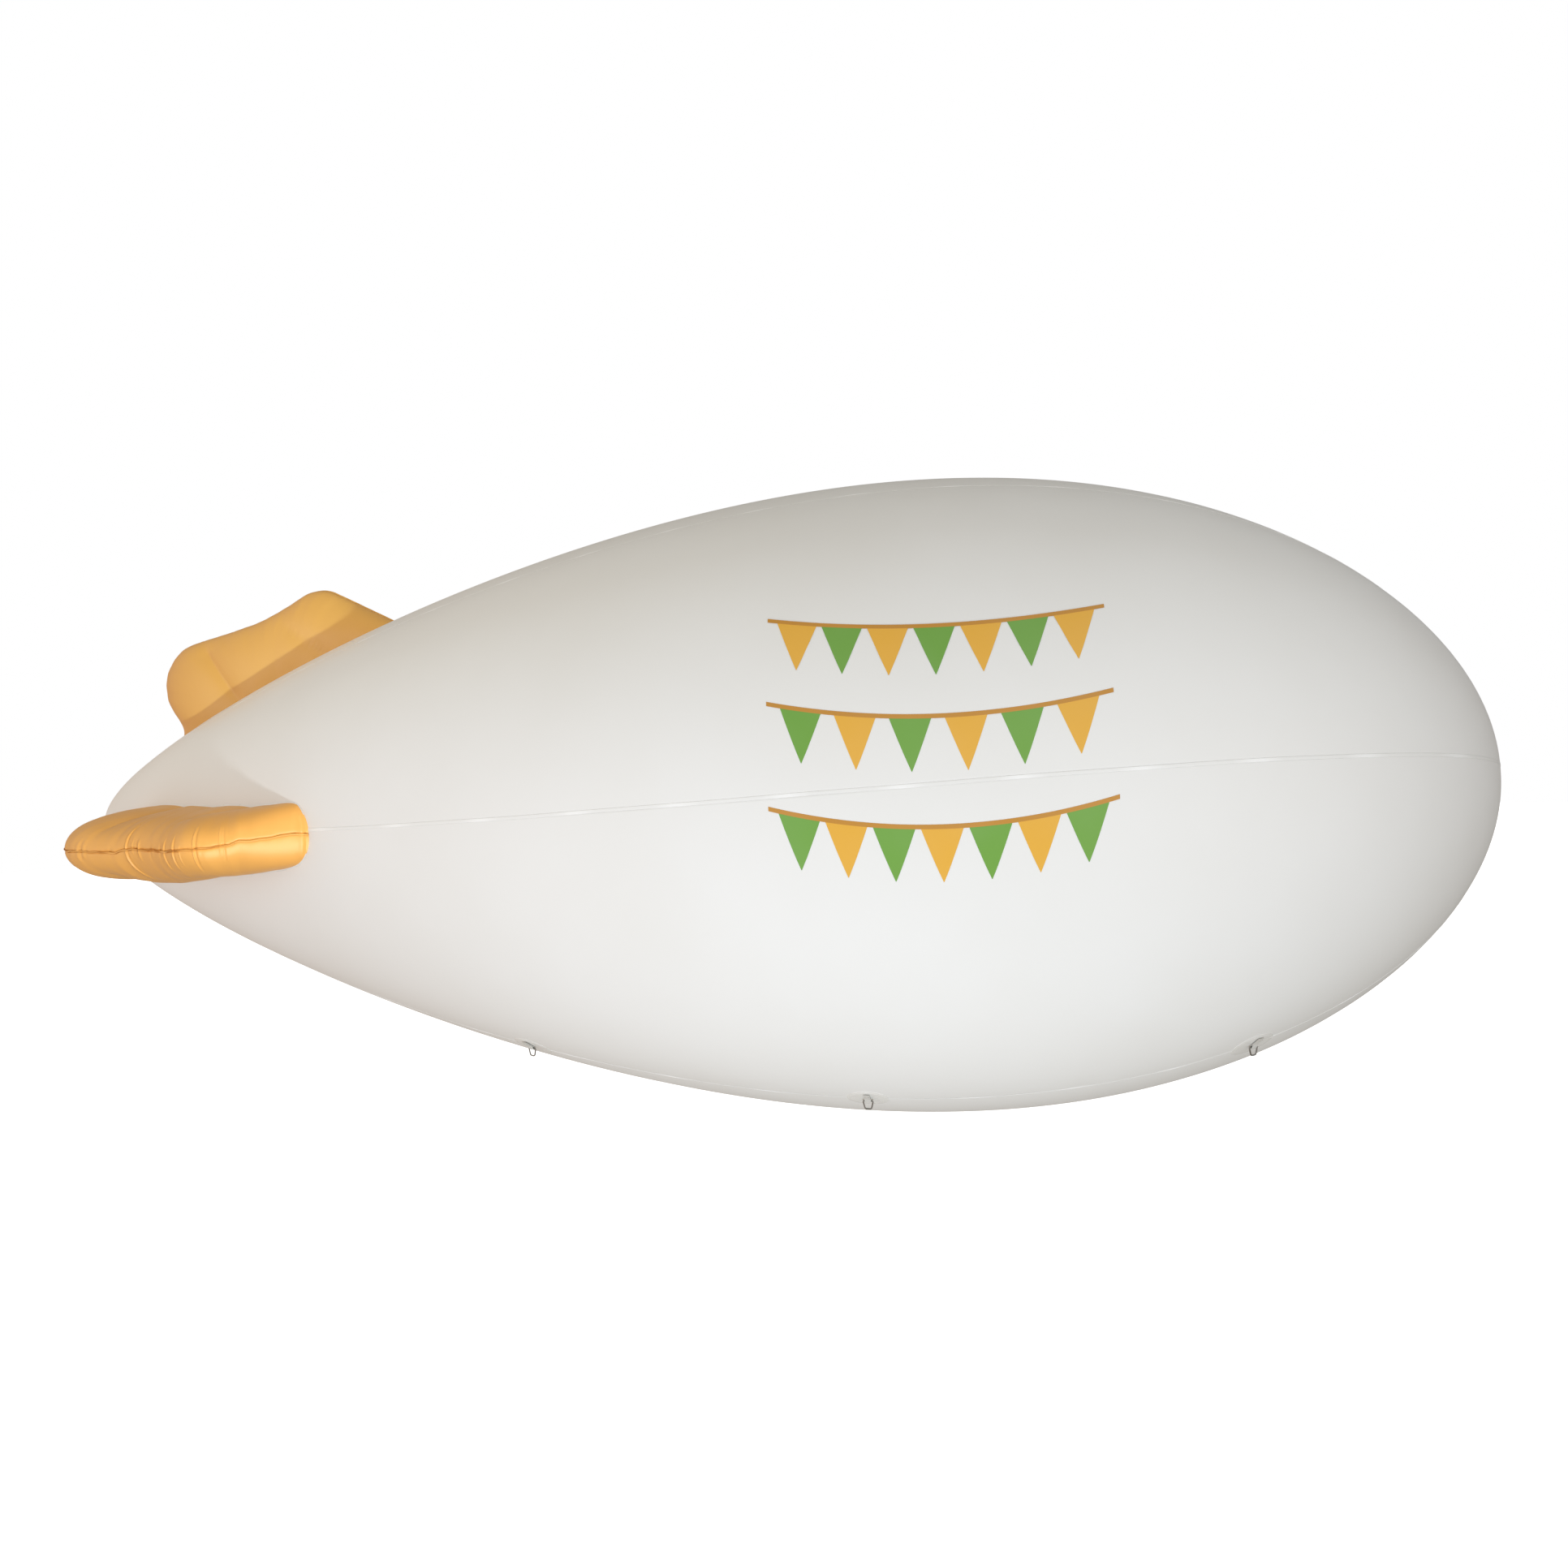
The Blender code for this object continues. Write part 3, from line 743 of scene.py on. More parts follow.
class BLIMP_OT_stage(bpy.types.Operator):
    """Sets the camera, a plain pale floor and the studio's soft light, once the fins are made"""

    bl_idname = "blimp.stage"
    bl_label = "Stage"

    def execute(self, context):
        sizes = context.scene.blimp_stage
        context.scene.view_settings.view_transform = "Standard"
        self.camera(context.scene, sizes)
        self.floor(sizes)
        self.soft_walls(context.scene, sizes)
        key = self.soft_box("key", KEY_AIM, KEY_WAY, KEY_DISTANCE, KEY_SIZE, sizes.key_power, "#E4F2FF")
        shapes = [obj for obj in context.scene.objects if obj.type == "MESH"]
        fins = {
            place: [obj for obj in shapes if obj.name.startswith((f"fin_film_{place}", f"weld_fin_{place}"))]
            for place in FIN_MIDDLES
        }
        self.light_only(key, [obj for obj in shapes if obj not in fins["top"]])
        for place, way, distance, size, power, tone, part in FIN_LAMPS:
            lamp = self.soft_box(
                f"{place}_fin_{part}", FIN_MIDDLES[place], way, distance, size, power, tone
            )
            lamp.visible_glossy = part == "sheen"
            lamp.visible_diffuse = part != "sheen"
            self.light_only(lamp, fins[place])
        return {"FINISHED"}

    def camera(self, scene, sizes):
        deselect()
        bpy.ops.object.camera_add(location=sizes.camera_place, rotation=Euler(sizes.camera_turn))
        camera = bpy.context.object
        camera.name = "camera"
        camera.data.lens = sizes.lens
        camera.data.sensor_width = SENSOR_WIDTH
        camera.data.clip_end = SIGHT
        scene.camera = camera

    def floor(self, sizes):
        """The balloon hangs high over the floor, which neither takes its shadow nor throws light up at it."""
        bpy.ops.mesh.primitive_circle_add(
            vertices=96, radius=FLOOR_RADIUS, fill_type="NGON", location=(0, 0, sizes.floor_height)
        )
        floor = begin("studio_floor")
        settle_object(floor)
        paint, _, shader = new_finish("matt white studio paint")
        fill(shader, {"Base Color": linear(WHITE), "Roughness": 1.0})
        fill(shader, {"Emission Color": linear(WHITE), "Emission Strength": 1.0})
        floor.data.materials.append(paint)
        floor.visible_diffuse = False
        floor.visible_glossy = False
        floor.visible_shadow = False

    def soft_walls(self, scene, sizes):
        """A pale room lit by the walls of SOFT_WALLS, seen by the camera itself as plain white."""
        world = bpy.data.worlds.new("studio room")
        scene.world = world
        world.use_nodes = True
        tree = world.node_tree
        tree.nodes.clear()
        direction = add_node(tree, "TexCoord", {}).outputs["Generated"]
        total = (0.0, 0.0, 0.0)
        for way, sharpness, tone in SOFT_WALLS:
            ahead = calculated(tree, "MAXIMUM", along_way(tree, direction, Vector(way).normalized()), 0.0)
            share = calculated(tree, "POWER", ahead, sharpness)
            wall = add_node(tree, "VectorMath", {"operation": "SCALE", 0: tone, "Scale": share})
            total = add_node(tree, "VectorMath", {0: total, 1: wall.outputs["Vector"]}).outputs["Vector"]
        lit = add_node(tree, "Background", {"Color": total, "Strength": sizes.room_strength})
        backdrop = add_node(tree, "Background", {"Color": linear(WHITE), "Strength": 1.0})
        seen = add_node(tree, "LightPath", {}).outputs["Is Camera Ray"]
        both = {0: seen, 1: lit.outputs["Background"], 2: backdrop.outputs["Background"]}
        add_node(tree, "OutputWorld", {"Surface": add_node(tree, "MixShader", both).outputs["Shader"]})

    def light_only(self, lamp, shapes):
        """Lets a lamp light these shapes and no others."""
        if not shapes:
            raise RuntimeError(f"{lamp.name} has nothing to light: the fins come before the stage")
        lit = bpy.data.collections.new(lamp.name + "_shapes")
        for obj in shapes:
            lit.objects.link(obj)
        lamp.light_linking.receiver_collection = lit

    def soft_box(self, name, aim, way, distance, size, power, tone):
        """A square soft light that neither the camera nor a reflection shows."""
        away = Vector(way).normalized()
        deselect()
        bpy.ops.object.light_add(
            type="AREA",
            location=Vector(aim) + away * distance,
            rotation=(-away).to_track_quat("-Z", "Y").to_euler(),
        )
        lamp = bpy.context.object
        lamp.name = name + "_light"
        lamp.data.shape = "SQUARE"
        lamp.data.size = size
        lamp.data.energy = power
        lamp.data.color = linear(tone)[:3]
        lamp.visible_camera = False
        lamp.visible_glossy = False
        return lamp


# Envelope

GORE_STATIONS = 60
GORE_STEPS = 3
GORE_LEVELS = 3
# How strongly a gore's columns crowd towards its seams, from 0 to 1
COLUMN_CROWDING = 0.8
GORE_EDGE_GAP = 0.00015


# How far from either end the stations of small radii are looked for, as a share of the length, and how finely
END_REACH = 0.08
END_STEPS = 4000


def end_stations(radius):
    """Stations at which the envelope has this radius, near the nose and near the tail."""
    near = np.linspace(0.0, END_REACH, END_STEPS)
    return np.interp(radius, hull_radius(near), near), 1 - np.interp(radius, hull_radius(1 - near), near)


def crowded_stations(share, end_radius):
    """Stations at a share of the way from end to end, which lie closest near the ends."""
    first, last = (math.acos(1 - 2 * station) for station in end_stations(end_radius))
    return (1 - np.cos(first + share * (last - first))) / 2


class BLIMP_OT_gores(bpy.types.Operator):
    """Spins the side line into one gore, and turns and puckers a copy for each of the six"""

    bl_idname = "blimp.gores"
    bl_label = "Gores"

    def execute(self, context):
        sizes = envelope()
        stations = crowded_stations(np.linspace(0.0, 1.0, GORE_STATIONS + 1), sizes.pole_hole)
        strip = drawn_line("gore_pattern", [Vector(point) for point in on_skin(stations, 0.0, 0.0)])
        bpy.ops.mesh.spin(
            steps=GORE_STEPS, angle=math.radians(SEAM_ANGLE), center=(0, 0, 0), axis=(-1, 0, 0)
        )
        bpy.ops.object.mode_set(mode="OBJECT")
        settle_object(strip)
        outward_normals(strip)
        levels = {"levels": GORE_LEVELS, "render_levels": GORE_LEVELS}
        with_modifier(strip, "SUBSURF", boundary_smooth="PRESERVE_CORNERS", **levels)

        flat = points_of(strip)
        station = station_of(flat[:, 0])
        turn = np.degrees(np.arctan2(flat[:, 2], -flat[:, 1])) / SEAM_ANGLE
        share = turn - COLUMN_CROWDING * np.sin(2 * np.pi * turn) / (2 * np.pi)
        margin = np.degrees(GORE_EDGE_GAP / np.maximum(hull_radius(station), sizes.pole_hole))
        film = white_film("calendered white PVC film", rough=0.34)
        for index, place in enumerate(GORE_NAMES):
            bearing = margin + share * (SEAM_ANGLE - 2 * margin) + index * SEAM_ANGLE
            bearing = bearing + seam_bearing(station)
            skin = on_skin(station, bearing, skin_relief(station, bearing))
            gore = copied(strip, f"film_gore_{place}", skin)
            face_towards(gore, vectors_of(gore.data.polygons, "center") * (0, 1, 1))
            thickened(gore, sizes.film)
            finished(gore, film, nodes=[f"gore_{place}"])
        bpy.data.objects.remove(strip)
        return {"FINISHED"}


SEAM_STEPS = 480
SEAM_FILM = 0.0006
# How much wider than the gores' openings the seams end, under the caps
SEAM_END_SHARE = 1.2
# Weld bar's cross-section: share of the half width, share of the height
WELD_SECTION = (
    (-1.0, -0.7), (-0.80, 0.30), (-0.40, 0.50), (-0.20, 0.80),
    (0.20, 0.80), (0.40, 0.50), (0.80, 0.30), (1.0, -0.7),
)
# How much higher the weld stands where two presses overlap
PRESS_STEP = 0.00025
# How a weld wanders off its seam: height and number of its waves, per metre and radian
WELD_WAVES = ((0.0009, 2.9), (0.0005, 11.0))


class BLIMP_OT_seams(bpy.types.Operator):
    """Lays the welded seams between the gores"""

    bl_idname = "blimp.seams"
    bl_label = "Welded seams"

    def execute(self, context):
        sizes = envelope()
        weld = welded_film("welded white PVC seam", rough=0.30, press_glints=True)
        rows = len(WELD_SECTION) - 1
        ribbon, along, across = grid_sheet("seam_pattern", SEAM_STEPS, rows)
        station = crowded_stations(along, sizes.pole_hole * SEAM_END_SHARE)
        width, height = np.array(WELD_SECTION)[np.rint(across * rows).astype(int)].T
        draw = np.random.default_rng(seed=11)
        behind = station * sizes.hull_length
        radius = np.maximum(hull_radius(station), sizes.pole_hole)
        for seam in range(SEAM_COUNT):
            # Three are drawn for each seam, and the waves use two
            waves = zip(WELD_WAVES, draw.uniform(0, 2 * np.pi, 3))
            wander = sum(size * np.sin(behind * pace + start) for (size, pace), start in waves)
            aside = width * sizes.weld_half + wander
            bearing = seam_bearing(station) + seam * SEAM_ANGLE + np.degrees(aside / radius)
            relief = skin_relief(station, bearing)
            spot = on_skin(station, bearing, relief)
            off = np.abs((spot @ PRESS_WAY + PRESS_LENGTH / 2) % PRESS_LENGTH - PRESS_LENGTH / 2)
            twice = np.clip((PRESS_OVERLAP / 2 + PRESS_FADE - off) / (2 * PRESS_FADE), 0.0, 1.0)
            rise = height * sizes.weld_height + twice * PRESS_STEP * (np.abs(width) < 1)
            strip = copied(ribbon, f"weld_seam_{seam + 1}", on_skin(station, bearing, relief + rise))
            thickened(strip, SEAM_FILM)
            outward_normals(strip)
            finished(strip, weld)
        bpy.data.objects.remove(ribbon)
        return {"FINISHED"}


# Rounds of welded film: the points round one, its edge's two steps in, its height over the skin
ROUND_SIDES = 96
ROUND_EDGE = (0.0004, 0.0014)
ROUND_HEIGHT = 0.0011
# The bead that the press drives up inside the weld, and the height of the film inside it and of the weld
BEAD_WIDTH = 0.0012
BEAD_REACH = 0.004
INNER_SHARE = 0.85
PRESSED_SHARE = 0.5
# The rim: its height's share at the first step in, and how far its very edge is sunk in the film below
RIM_SHARE = 0.42
RIM_SUNK = 0.0003
# Where its rings lie: shares of the weld's width from the rim, and of the rest's radius from wide to narrow
WELD_RINGS = (0.3, 0.55, 0.8)
INNER_RINGS = (0.93, 0.06)
# Ranges from which a round's folds are drawn: angular half width, share of the height, start of the way out
FOLD_WIDTHS = (0.05, 0.13)
FOLD_DEPTHS = (-1.0, 0.8)
FOLD_STARTS = (0.45, 0.75)


def ringed_disc(name, radii):
    """A flat round at the origin with a ring of edges at each radius, widest first, made by insets."""
    deselect()
    bpy.ops.mesh.primitive_circle_add(vertices=ROUND_SIDES, radius=radii[0], fill_type="NGON")
    disc = begin(name)
    edit(disc)
    # An inset measures from edge to edge, and the rings are given at their corners
    flatness = math.cos(math.pi / ROUND_SIDES)
    for wide, narrow in zip(radii, radii[1:]):
        bpy.ops.mesh.inset(thickness=(wide - narrow) * flatness)
    bpy.ops.mesh.poke()
    bpy.ops.object.mode_set(mode="OBJECT")
    return disc


def disc_radii(radius, weld, rings):
    """Ring radii from the rim inwards: a rounded edge, the weld's two sides, then even rings."""
    inner = radius - weld
    band = [radius - share * weld for share in WELD_RINGS]
    edge = [radius, *(radius - step for step in ROUND_EDGE)]
    middle = [inner * share for share in np.linspace(*INNER_RINGS, rings)]
    return edge + band + [inner, inner - BEAD_WIDTH] + middle


def disc_height(rho, turn, radius, weld, folds, draw):
    """Height of a welded round over the film: pressed weld, a bead inside it and small radial folds."""
    inner = radius - weld
    profile = (
        (0.0, INNER_SHARE * ROUND_HEIGHT),
        (inner - BEAD_REACH, INNER_SHARE * ROUND_HEIGHT),
        (inner - BEAD_WIDTH, ROUND_HEIGHT),
        (inner, PRESSED_SHARE * ROUND_HEIGHT),
        (radius - ROUND_EDGE[1], PRESSED_SHARE * ROUND_HEIGHT),
        (radius - ROUND_EDGE[0], RIM_SHARE * ROUND_HEIGHT),
        (radius, -RIM_SUNK),
    )
    rise = read_off(profile, rho)
    for _ in range(folds):
        way = draw.uniform(0, 2 * np.pi)
        width = draw.uniform(*FOLD_WIDTHS)
        depth = draw.uniform(*FOLD_DEPTHS) * ROUND_HEIGHT / 2
        aside = np.angle(np.exp(1j * (turn - way)))
        start = draw.uniform(*FOLD_STARTS) * inner
        length = np.clip((rho - start) / (inner - start), 0.0, 1.0)
        rise = rise + depth * bell(aside, width) * np.sin(np.pi * length) ** 2
    return rise


def film_round(name, radius, weld, rings, folds, draw):
    """A flat round: the object, its points' distances from the middle, their angles and heights."""
    disc = ringed_disc(name, disc_radii(radius, weld, rings))
    flat = points_of(disc)
    rho, turn = np.hypot(flat[:, 0], flat[:, 1]), np.arctan2(flat[:, 1], flat[:, 0])
    return disc, rho, turn, disc_height(rho, turn, radius, weld, folds, draw)


CAP_WELD = 0.011
CAP_RINGS = 9
CAP_FOLDS = 14
CAP_GAP = 0.0004
CAP_FILM = 0.0006
# The stations at each end among which a cap's points find theirs
CAP_REACH = 0.03
CAP_STEPS = 2000


class BLIMP_OT_caps(bpy.types.Operator):
    """Welds a round over the gores' ends at the nose and the tail"""

    bl_idname = "blimp.caps"
    bl_label = "Nose and tail caps"

    def execute(self, context):
        film = white_film("welded white PVC round", rough=0.32)
        draw = np.random.default_rng(seed=23)
        near = np.linspace(0.0, CAP_REACH, CAP_STEPS)
        for place, stations, way in (("nose", near, 1), ("tail", 1 - near, -1)):
            disc, rho, turn, height = film_round(
                f"film_cap_{place}", envelope().cap_radius, CAP_WELD, CAP_RINGS, CAP_FOLDS, draw
            )
            station = np.interp(rho, hull_radius(stations), stations)
            bearing = np.degrees(turn)
            relief = skin_relief(station, bearing)
            place_points(disc, on_skin(station, bearing, relief + (CAP_GAP + height)))
            face_towards(disc, (way, 0, 0))
            thickened(disc, CAP_FILM)
            finished(disc, film, nodes=[f"{place}_cap"])
        return {"FINISHED"}


# Fins

# How far a panel runs on into the envelope, under the root weld, and the points round that weld
FIN_ROOT_DEPTH = 0.010
ROOT_STEPS = 360
ROOT_SMOOTHINGS = 3
# How far the root weld reaches in under the fin's film
ROOT_TUCK = 0.002
# The root weld over the skin: its height, its bead's height and half width, how far its edge drops
ROOT_RISE = (0.0006, 0.0008, 0.0014, 0.0009)
ROOT_FILM = 0.0008
# The weld round a fin's rim: half its width, how far its middle stands out from the rim, its thickness
RIM_WELD_HALF = 0.004
RIM_WELD_OUT = 0.0004
RIM_WELD_FILM = 0.0009

CORNER_STEPS = 24
# Share of a fin's columns, and the distance along the outline up to which they reach
COLUMN_SPANS = ((0.12, 0.37), (0.52, 0.87), (0.26, 1.55), (0.10, 9.0))
# How strongly a panel's rings crowd towards its rim, where 1 is evenly spaced
RING_CROWDING = 1.8
# Squareness of a fin's cross-section, where 2 is round: at most places, and at its blunt front end
SQUARENESS = 4.0
FRONT_SQUARENESS = 14.0
# The front corner's distance along the outline, and how far to its sides the front is blunt
FRONT_CORNER = 0.15
FRONT_REACH = 0.16
# The bulge in front of a fin's front fold: place along the outline, half width, reach from the rim
BULGE = (0.105, 0.032, 0.080)
# How the film is drawn in beside the rim weld: share of the way to the middle, width
RIM_GROOVE = (0.0036, 0.0035)
# How far from the rim the panels follow its weld off the mid plane
RIM_REACH = 0.14

# How strong each fin's features are. The grid is the share of the near fin's columns and rings that it has,
# by how folded it is, and the hull-side slope is how steeply its panels turn in beside the hull.
FIN_FORMS = {
    "starboard": {"grid": 1.0, "bulge": 0.022, "small_folds": 70, "hull_side_slope": 0.03, "creases": 0.6},
    "top": {"grid": 0.65, "bulge": 0.003, "small_folds": 4, "hull_side_slope": 0.12, "creases": 1.0},
    "port": {"grid": 0.75, "bulge": 0.009, "small_folds": 60, "hull_side_slope": 0.04, "creases": 0.8},
}

# How far the fins hang off their mid planes, measured at SAG_RADIUS: distance behind the nose, height
SAG = {
    "starboard": (
        (3.74, -0.014), (3.80, -0.006), (3.92, -0.020), (4.02, -0.031), (4.12, -0.034), (4.20, -0.047),
        (4.28, -0.056), (4.36, -0.056), (4.44, -0.055), (4.54, -0.051), (4.62, -0.048), (4.70, -0.047),
    ),
    "top": ((4.0, 0.0),),
    "port": ((3.80, -0.008), (4.20, -0.028), (4.70, -0.022)),
}
SAG_RADIUS = 0.70
# Share of the full thickness that a fin has: distance behind the nose, share
THICKNESS = (
    (3.80, 0.868), (3.92, 0.845), (3.98, 0.865), (4.05, 0.895),
    (4.12, 0.895), (4.20, 0.915), (4.28, 0.975), (4.36, 1.0),
)
# The same for a fin's tail part, where it differs from the others
TAIL_THICKNESS = {
    "starboard": ((4.32, 1.0), (4.38, 0.975), (4.46, 0.955), (4.54, 0.970), (4.64, 1.0)),
    "top": ((4.5, 1.0),),
    "port": ((4.5, 1.0),),
}

# How far each rim weld lies off its mid plane: distance along the outline, offset
RIM_LINES = {
    "starboard": (
        (0.13, 0.010), (0.17, 0.010), (0.255, 0.006), (0.335, 0.012), (0.357, 0.0147), (0.385, 0.0085),
        (0.42, 0.0107), (0.50, 0.0138), (0.55, 0.0118), (0.60, 0.016), (0.655, 0.020), (0.70, 0.028),
        (0.80, 0.030), (0.84, 0.0285), (0.88, 0.016), (1.15, 0.005),
    ),
    "top": ((0.15, -0.004), (0.35, 0.006), (0.60, 0.010), (0.85, -0.006), (1.15, 0.004)),
    "port": ((0.15, 0.006), (0.33, -0.006), (0.62, -0.012), (0.90, 0.004), (1.15, -0.004)),
}
# A rim weld's unevenness: height, waves per metre and radian
RIM_WAVES = ((0.0011, 47.0), (0.0008, 113.0))
# Where each rim weld's edge is folded over: distance along the outline, degrees off the mid plane
RIM_TIPS = {
    "starboard": (
        (0.15, -78), (0.36, -74), (0.40, -40), (0.46, 50), (0.50, -66), (0.56, 30), (0.60, -74), (0.66, 30),
        (0.78, -30), (0.83, -70), (0.90, -64), (0.96, 60), (1.10, 72), (1.25, 60), (1.60, 30),
    ),
    "top": ((0.15, 66), (1.60, 66)),
    "port": ((0.15, -60), (0.45, 40), (0.60, 70), (0.85, 50), (1.00, -66), (1.25, -60), (1.60, -30)),
}

# Folds across a rim: place along the outline, half width, reach over each side's panel, height, bow.
# A bowed fold runs back towards the front corner as it leaves the rim.
RIM_FOLDS = {
    "starboard": (
        (0.166, 0.0040, 0.110, 0.110, -0.0060, 0.1),
        (0.180, 0.0050, 0.090, 0.090, 0.0016, 0.2),
        (0.398, 0.0034, 0.060, 0.050, -0.0018, 0.4),
        (0.410, 0.0020, 0.072, 0.022, 0.0020, 0.4),
        (0.477, 0.0030, 0.078, 0.082, -0.0024, 0.7),
        (0.484, 0.0018, 0.080, 0.084, 0.0032, 0.7),
        (0.531, 0.0018, 0.012, 0.056, 0.0022, 1.2),
        (0.555, 0.0028, 0.040, 0.062, -0.0020, 1.1),
        (0.561, 0.0018, 0.044, 0.068, 0.0030, 1.1),
        (0.608, 0.0028, 0.034, 0.064, -0.0020, 2.2),
        (0.614, 0.0018, 0.038, 0.072, 0.0030, 2.2),
        (0.640, 0.0060, 0.024, 0.024, -0.0020, 0.0),
        (0.764, 0.0038, 0.030, 0.032, 0.0024, 0.6),
        (0.778, 0.0026, 0.026, 0.026, -0.0022, 0.6),
        (0.798, 0.0030, 0.036, 0.020, 0.0018, 2.0),
        (0.822, 0.0034, 0.088, 0.108, -0.0020, 1.1),
        (0.829, 0.0018, 0.096, 0.114, 0.0034, 1.1),
        (0.905, 0.0070, 0.020, 0.020, -0.0016, 0.0),
        (1.020, 0.0080, 0.040, 0.024, 0.0030, 0.8),
        (1.046, 0.0080, 0.044, 0.036, 0.0030, 0.8),
        (1.110, 0.0070, 0.030, 0.030, -0.0020, 0.0),
    ),
    "top": (
        (0.405, 0.0070, 0.040, 0.040, 0.0012, 1.0),
        (0.880, 0.0070, 0.050, 0.050, -0.0012, 0.8),
        (1.020, 0.0060, 0.040, 0.040, 0.0012, 0.6),
    ),
    "port": (
        (0.150, 0.0055, 0.080, 0.080, -0.0040, 0.3),
        (0.500, 0.0040, 0.060, 0.056, 0.0044, 1.5),
        (0.512, 0.0040, 0.056, 0.052, -0.0034, 1.5),
        (0.690, 0.0036, 0.074, 0.066, 0.0046, 2.8),
        (0.704, 0.0040, 0.070, 0.066, -0.0032, 2.8),
        (0.900, 0.0040, 0.090, 0.086, 0.0054, 3.4),
        (1.060, 0.0080, 0.036, 0.036, 0.0028, 0.5),
    ),
}
# Broad creases across a panel, from the shelf and from the dip: start, end, depth, width
CREASES = (
    ((4.525, 0.690), (4.345, 0.436), 0.0220, 0.048),
    ((4.200, 0.741), (3.985, 0.594), 0.0120, 0.032),
)
# How far a crease takes to fade in and to fade out, what is left of it at its end, how round it is
CREASE_FADES = (0.06, 0.08)
CREASE_LEFT = 0.4
CREASE_ROUND = 0.002
# Line beside the hull, below which the panels turn in towards their weld, how round the turn is and how far
# below the line it goes on
HULL_SIDE_LINE = ((4.544, 0.367), (3.949, 0.731))
TURN_ROUND = 0.006
TURN_REACH = 0.26
# Ranges from which small folds are drawn: height, place along the outline, half width, reach, bow
SMALL_FOLDS = ((0.0003, 0.0010), (0.16, 1.45), (0.0040, 0.009), (0.010, 0.034), (-1.0, 1.0))


def rounded_outline(corners, steps):
    """A closed outline through corners of (x, y, radius), each corner an arc of that many steps."""
    points = []
    for i, (x, y, radius) in enumerate(corners):
        corner = Vector((x, y))
        to_last = (Vector(corners[i - 1][:2]) - corner).normalized()
        to_next = (Vector(corners[(i + 1) % len(corners)][:2]) - corner).normalized()
        half = to_last.angle(to_next) / 2
        centre = corner + (to_last + to_next).normalized() * radius / math.sin(half)
        start = corner + to_last * radius / math.tan(half) - centre
        sweep = math.pi - 2 * half
        side = 1 if to_last.x * to_next.y - to_last.y * to_next.x < 0 else -1
        for step in range(steps + 1):
            points.append(centre + Matrix.Rotation(side * sweep * step / steps, 2) @ start)
    return np.array(points + points[:1])


def even_outline(columns):
    """(points, their distances along the outline) of a fin's outline, from its first corner.

    They lie closest where the rim is most folded, and widest inside the envelope.
    """
    closed = rounded_outline(FIN_CORNERS, CORNER_STEPS)
    number = [0, *np.cumsum([round(share * columns) for share, _ in COLUMN_SPANS[:-1]]), columns]
    ends = np.minimum([0.0] + [end for _, end in COLUMN_SPANS], run_along(closed)[-1])
    along = np.interp(np.arange(columns), number, ends)
    return points_along(closed, along), along


def rim_folds(place):
    """The fin's listed folds and its seeded small ones, as rows like those of RIM_FOLDS."""
    draw = np.random.default_rng(seed=31 + len(place))
    rows = list(RIM_FOLDS[place])
    heights, places, widths, reaches, bows = SMALL_FOLDS
    for _ in range(FIN_FORMS[place]["small_folds"]):
        height = draw.uniform(*heights) * draw.choice((-1, 1))
        where, half_width = draw.uniform(*places), draw.uniform(*widths)
        reach_up, reach_down = draw.uniform(*reaches), draw.uniform(*reaches)
        rows.append((where, half_width, reach_up, reach_down, height, draw.uniform(*bows)))
    return rows


def sagged(place, points, bearing):
    """Points of a fin's own frame, where it stands up, let down by its own weight."""
    down = 1 if bearing < 90 else -1
    sag = down * read_off(SAG[place], envelope().nose_x - points[:, 0])
    return points + np.outer(sag * points[:, 2] / SAG_RADIUS, (0, 1, 0))


def rim_wander(place, along):
    """How far the rim weld lies off the fin's mid plane: its own line and a small unevenness."""
    phase = len(place)
    uneven = sum(
        height * np.sin(along * pace + number * phase) for number, (height, pace) in enumerate(RIM_WAVES, 1)
    )
    return read_off(RIM_LINES[place], along) + uneven


def along_and_beside(flat, start, end):
    """How far along a line and how far to the left of it some flat points lie, and the line's length."""
    start, end = np.array(start), np.array(end)
    length = np.linalg.norm(end - start)
    way = (end - start) / length
    return (flat - start) @ way, (flat - start) @ (-way[1], way[0]), length


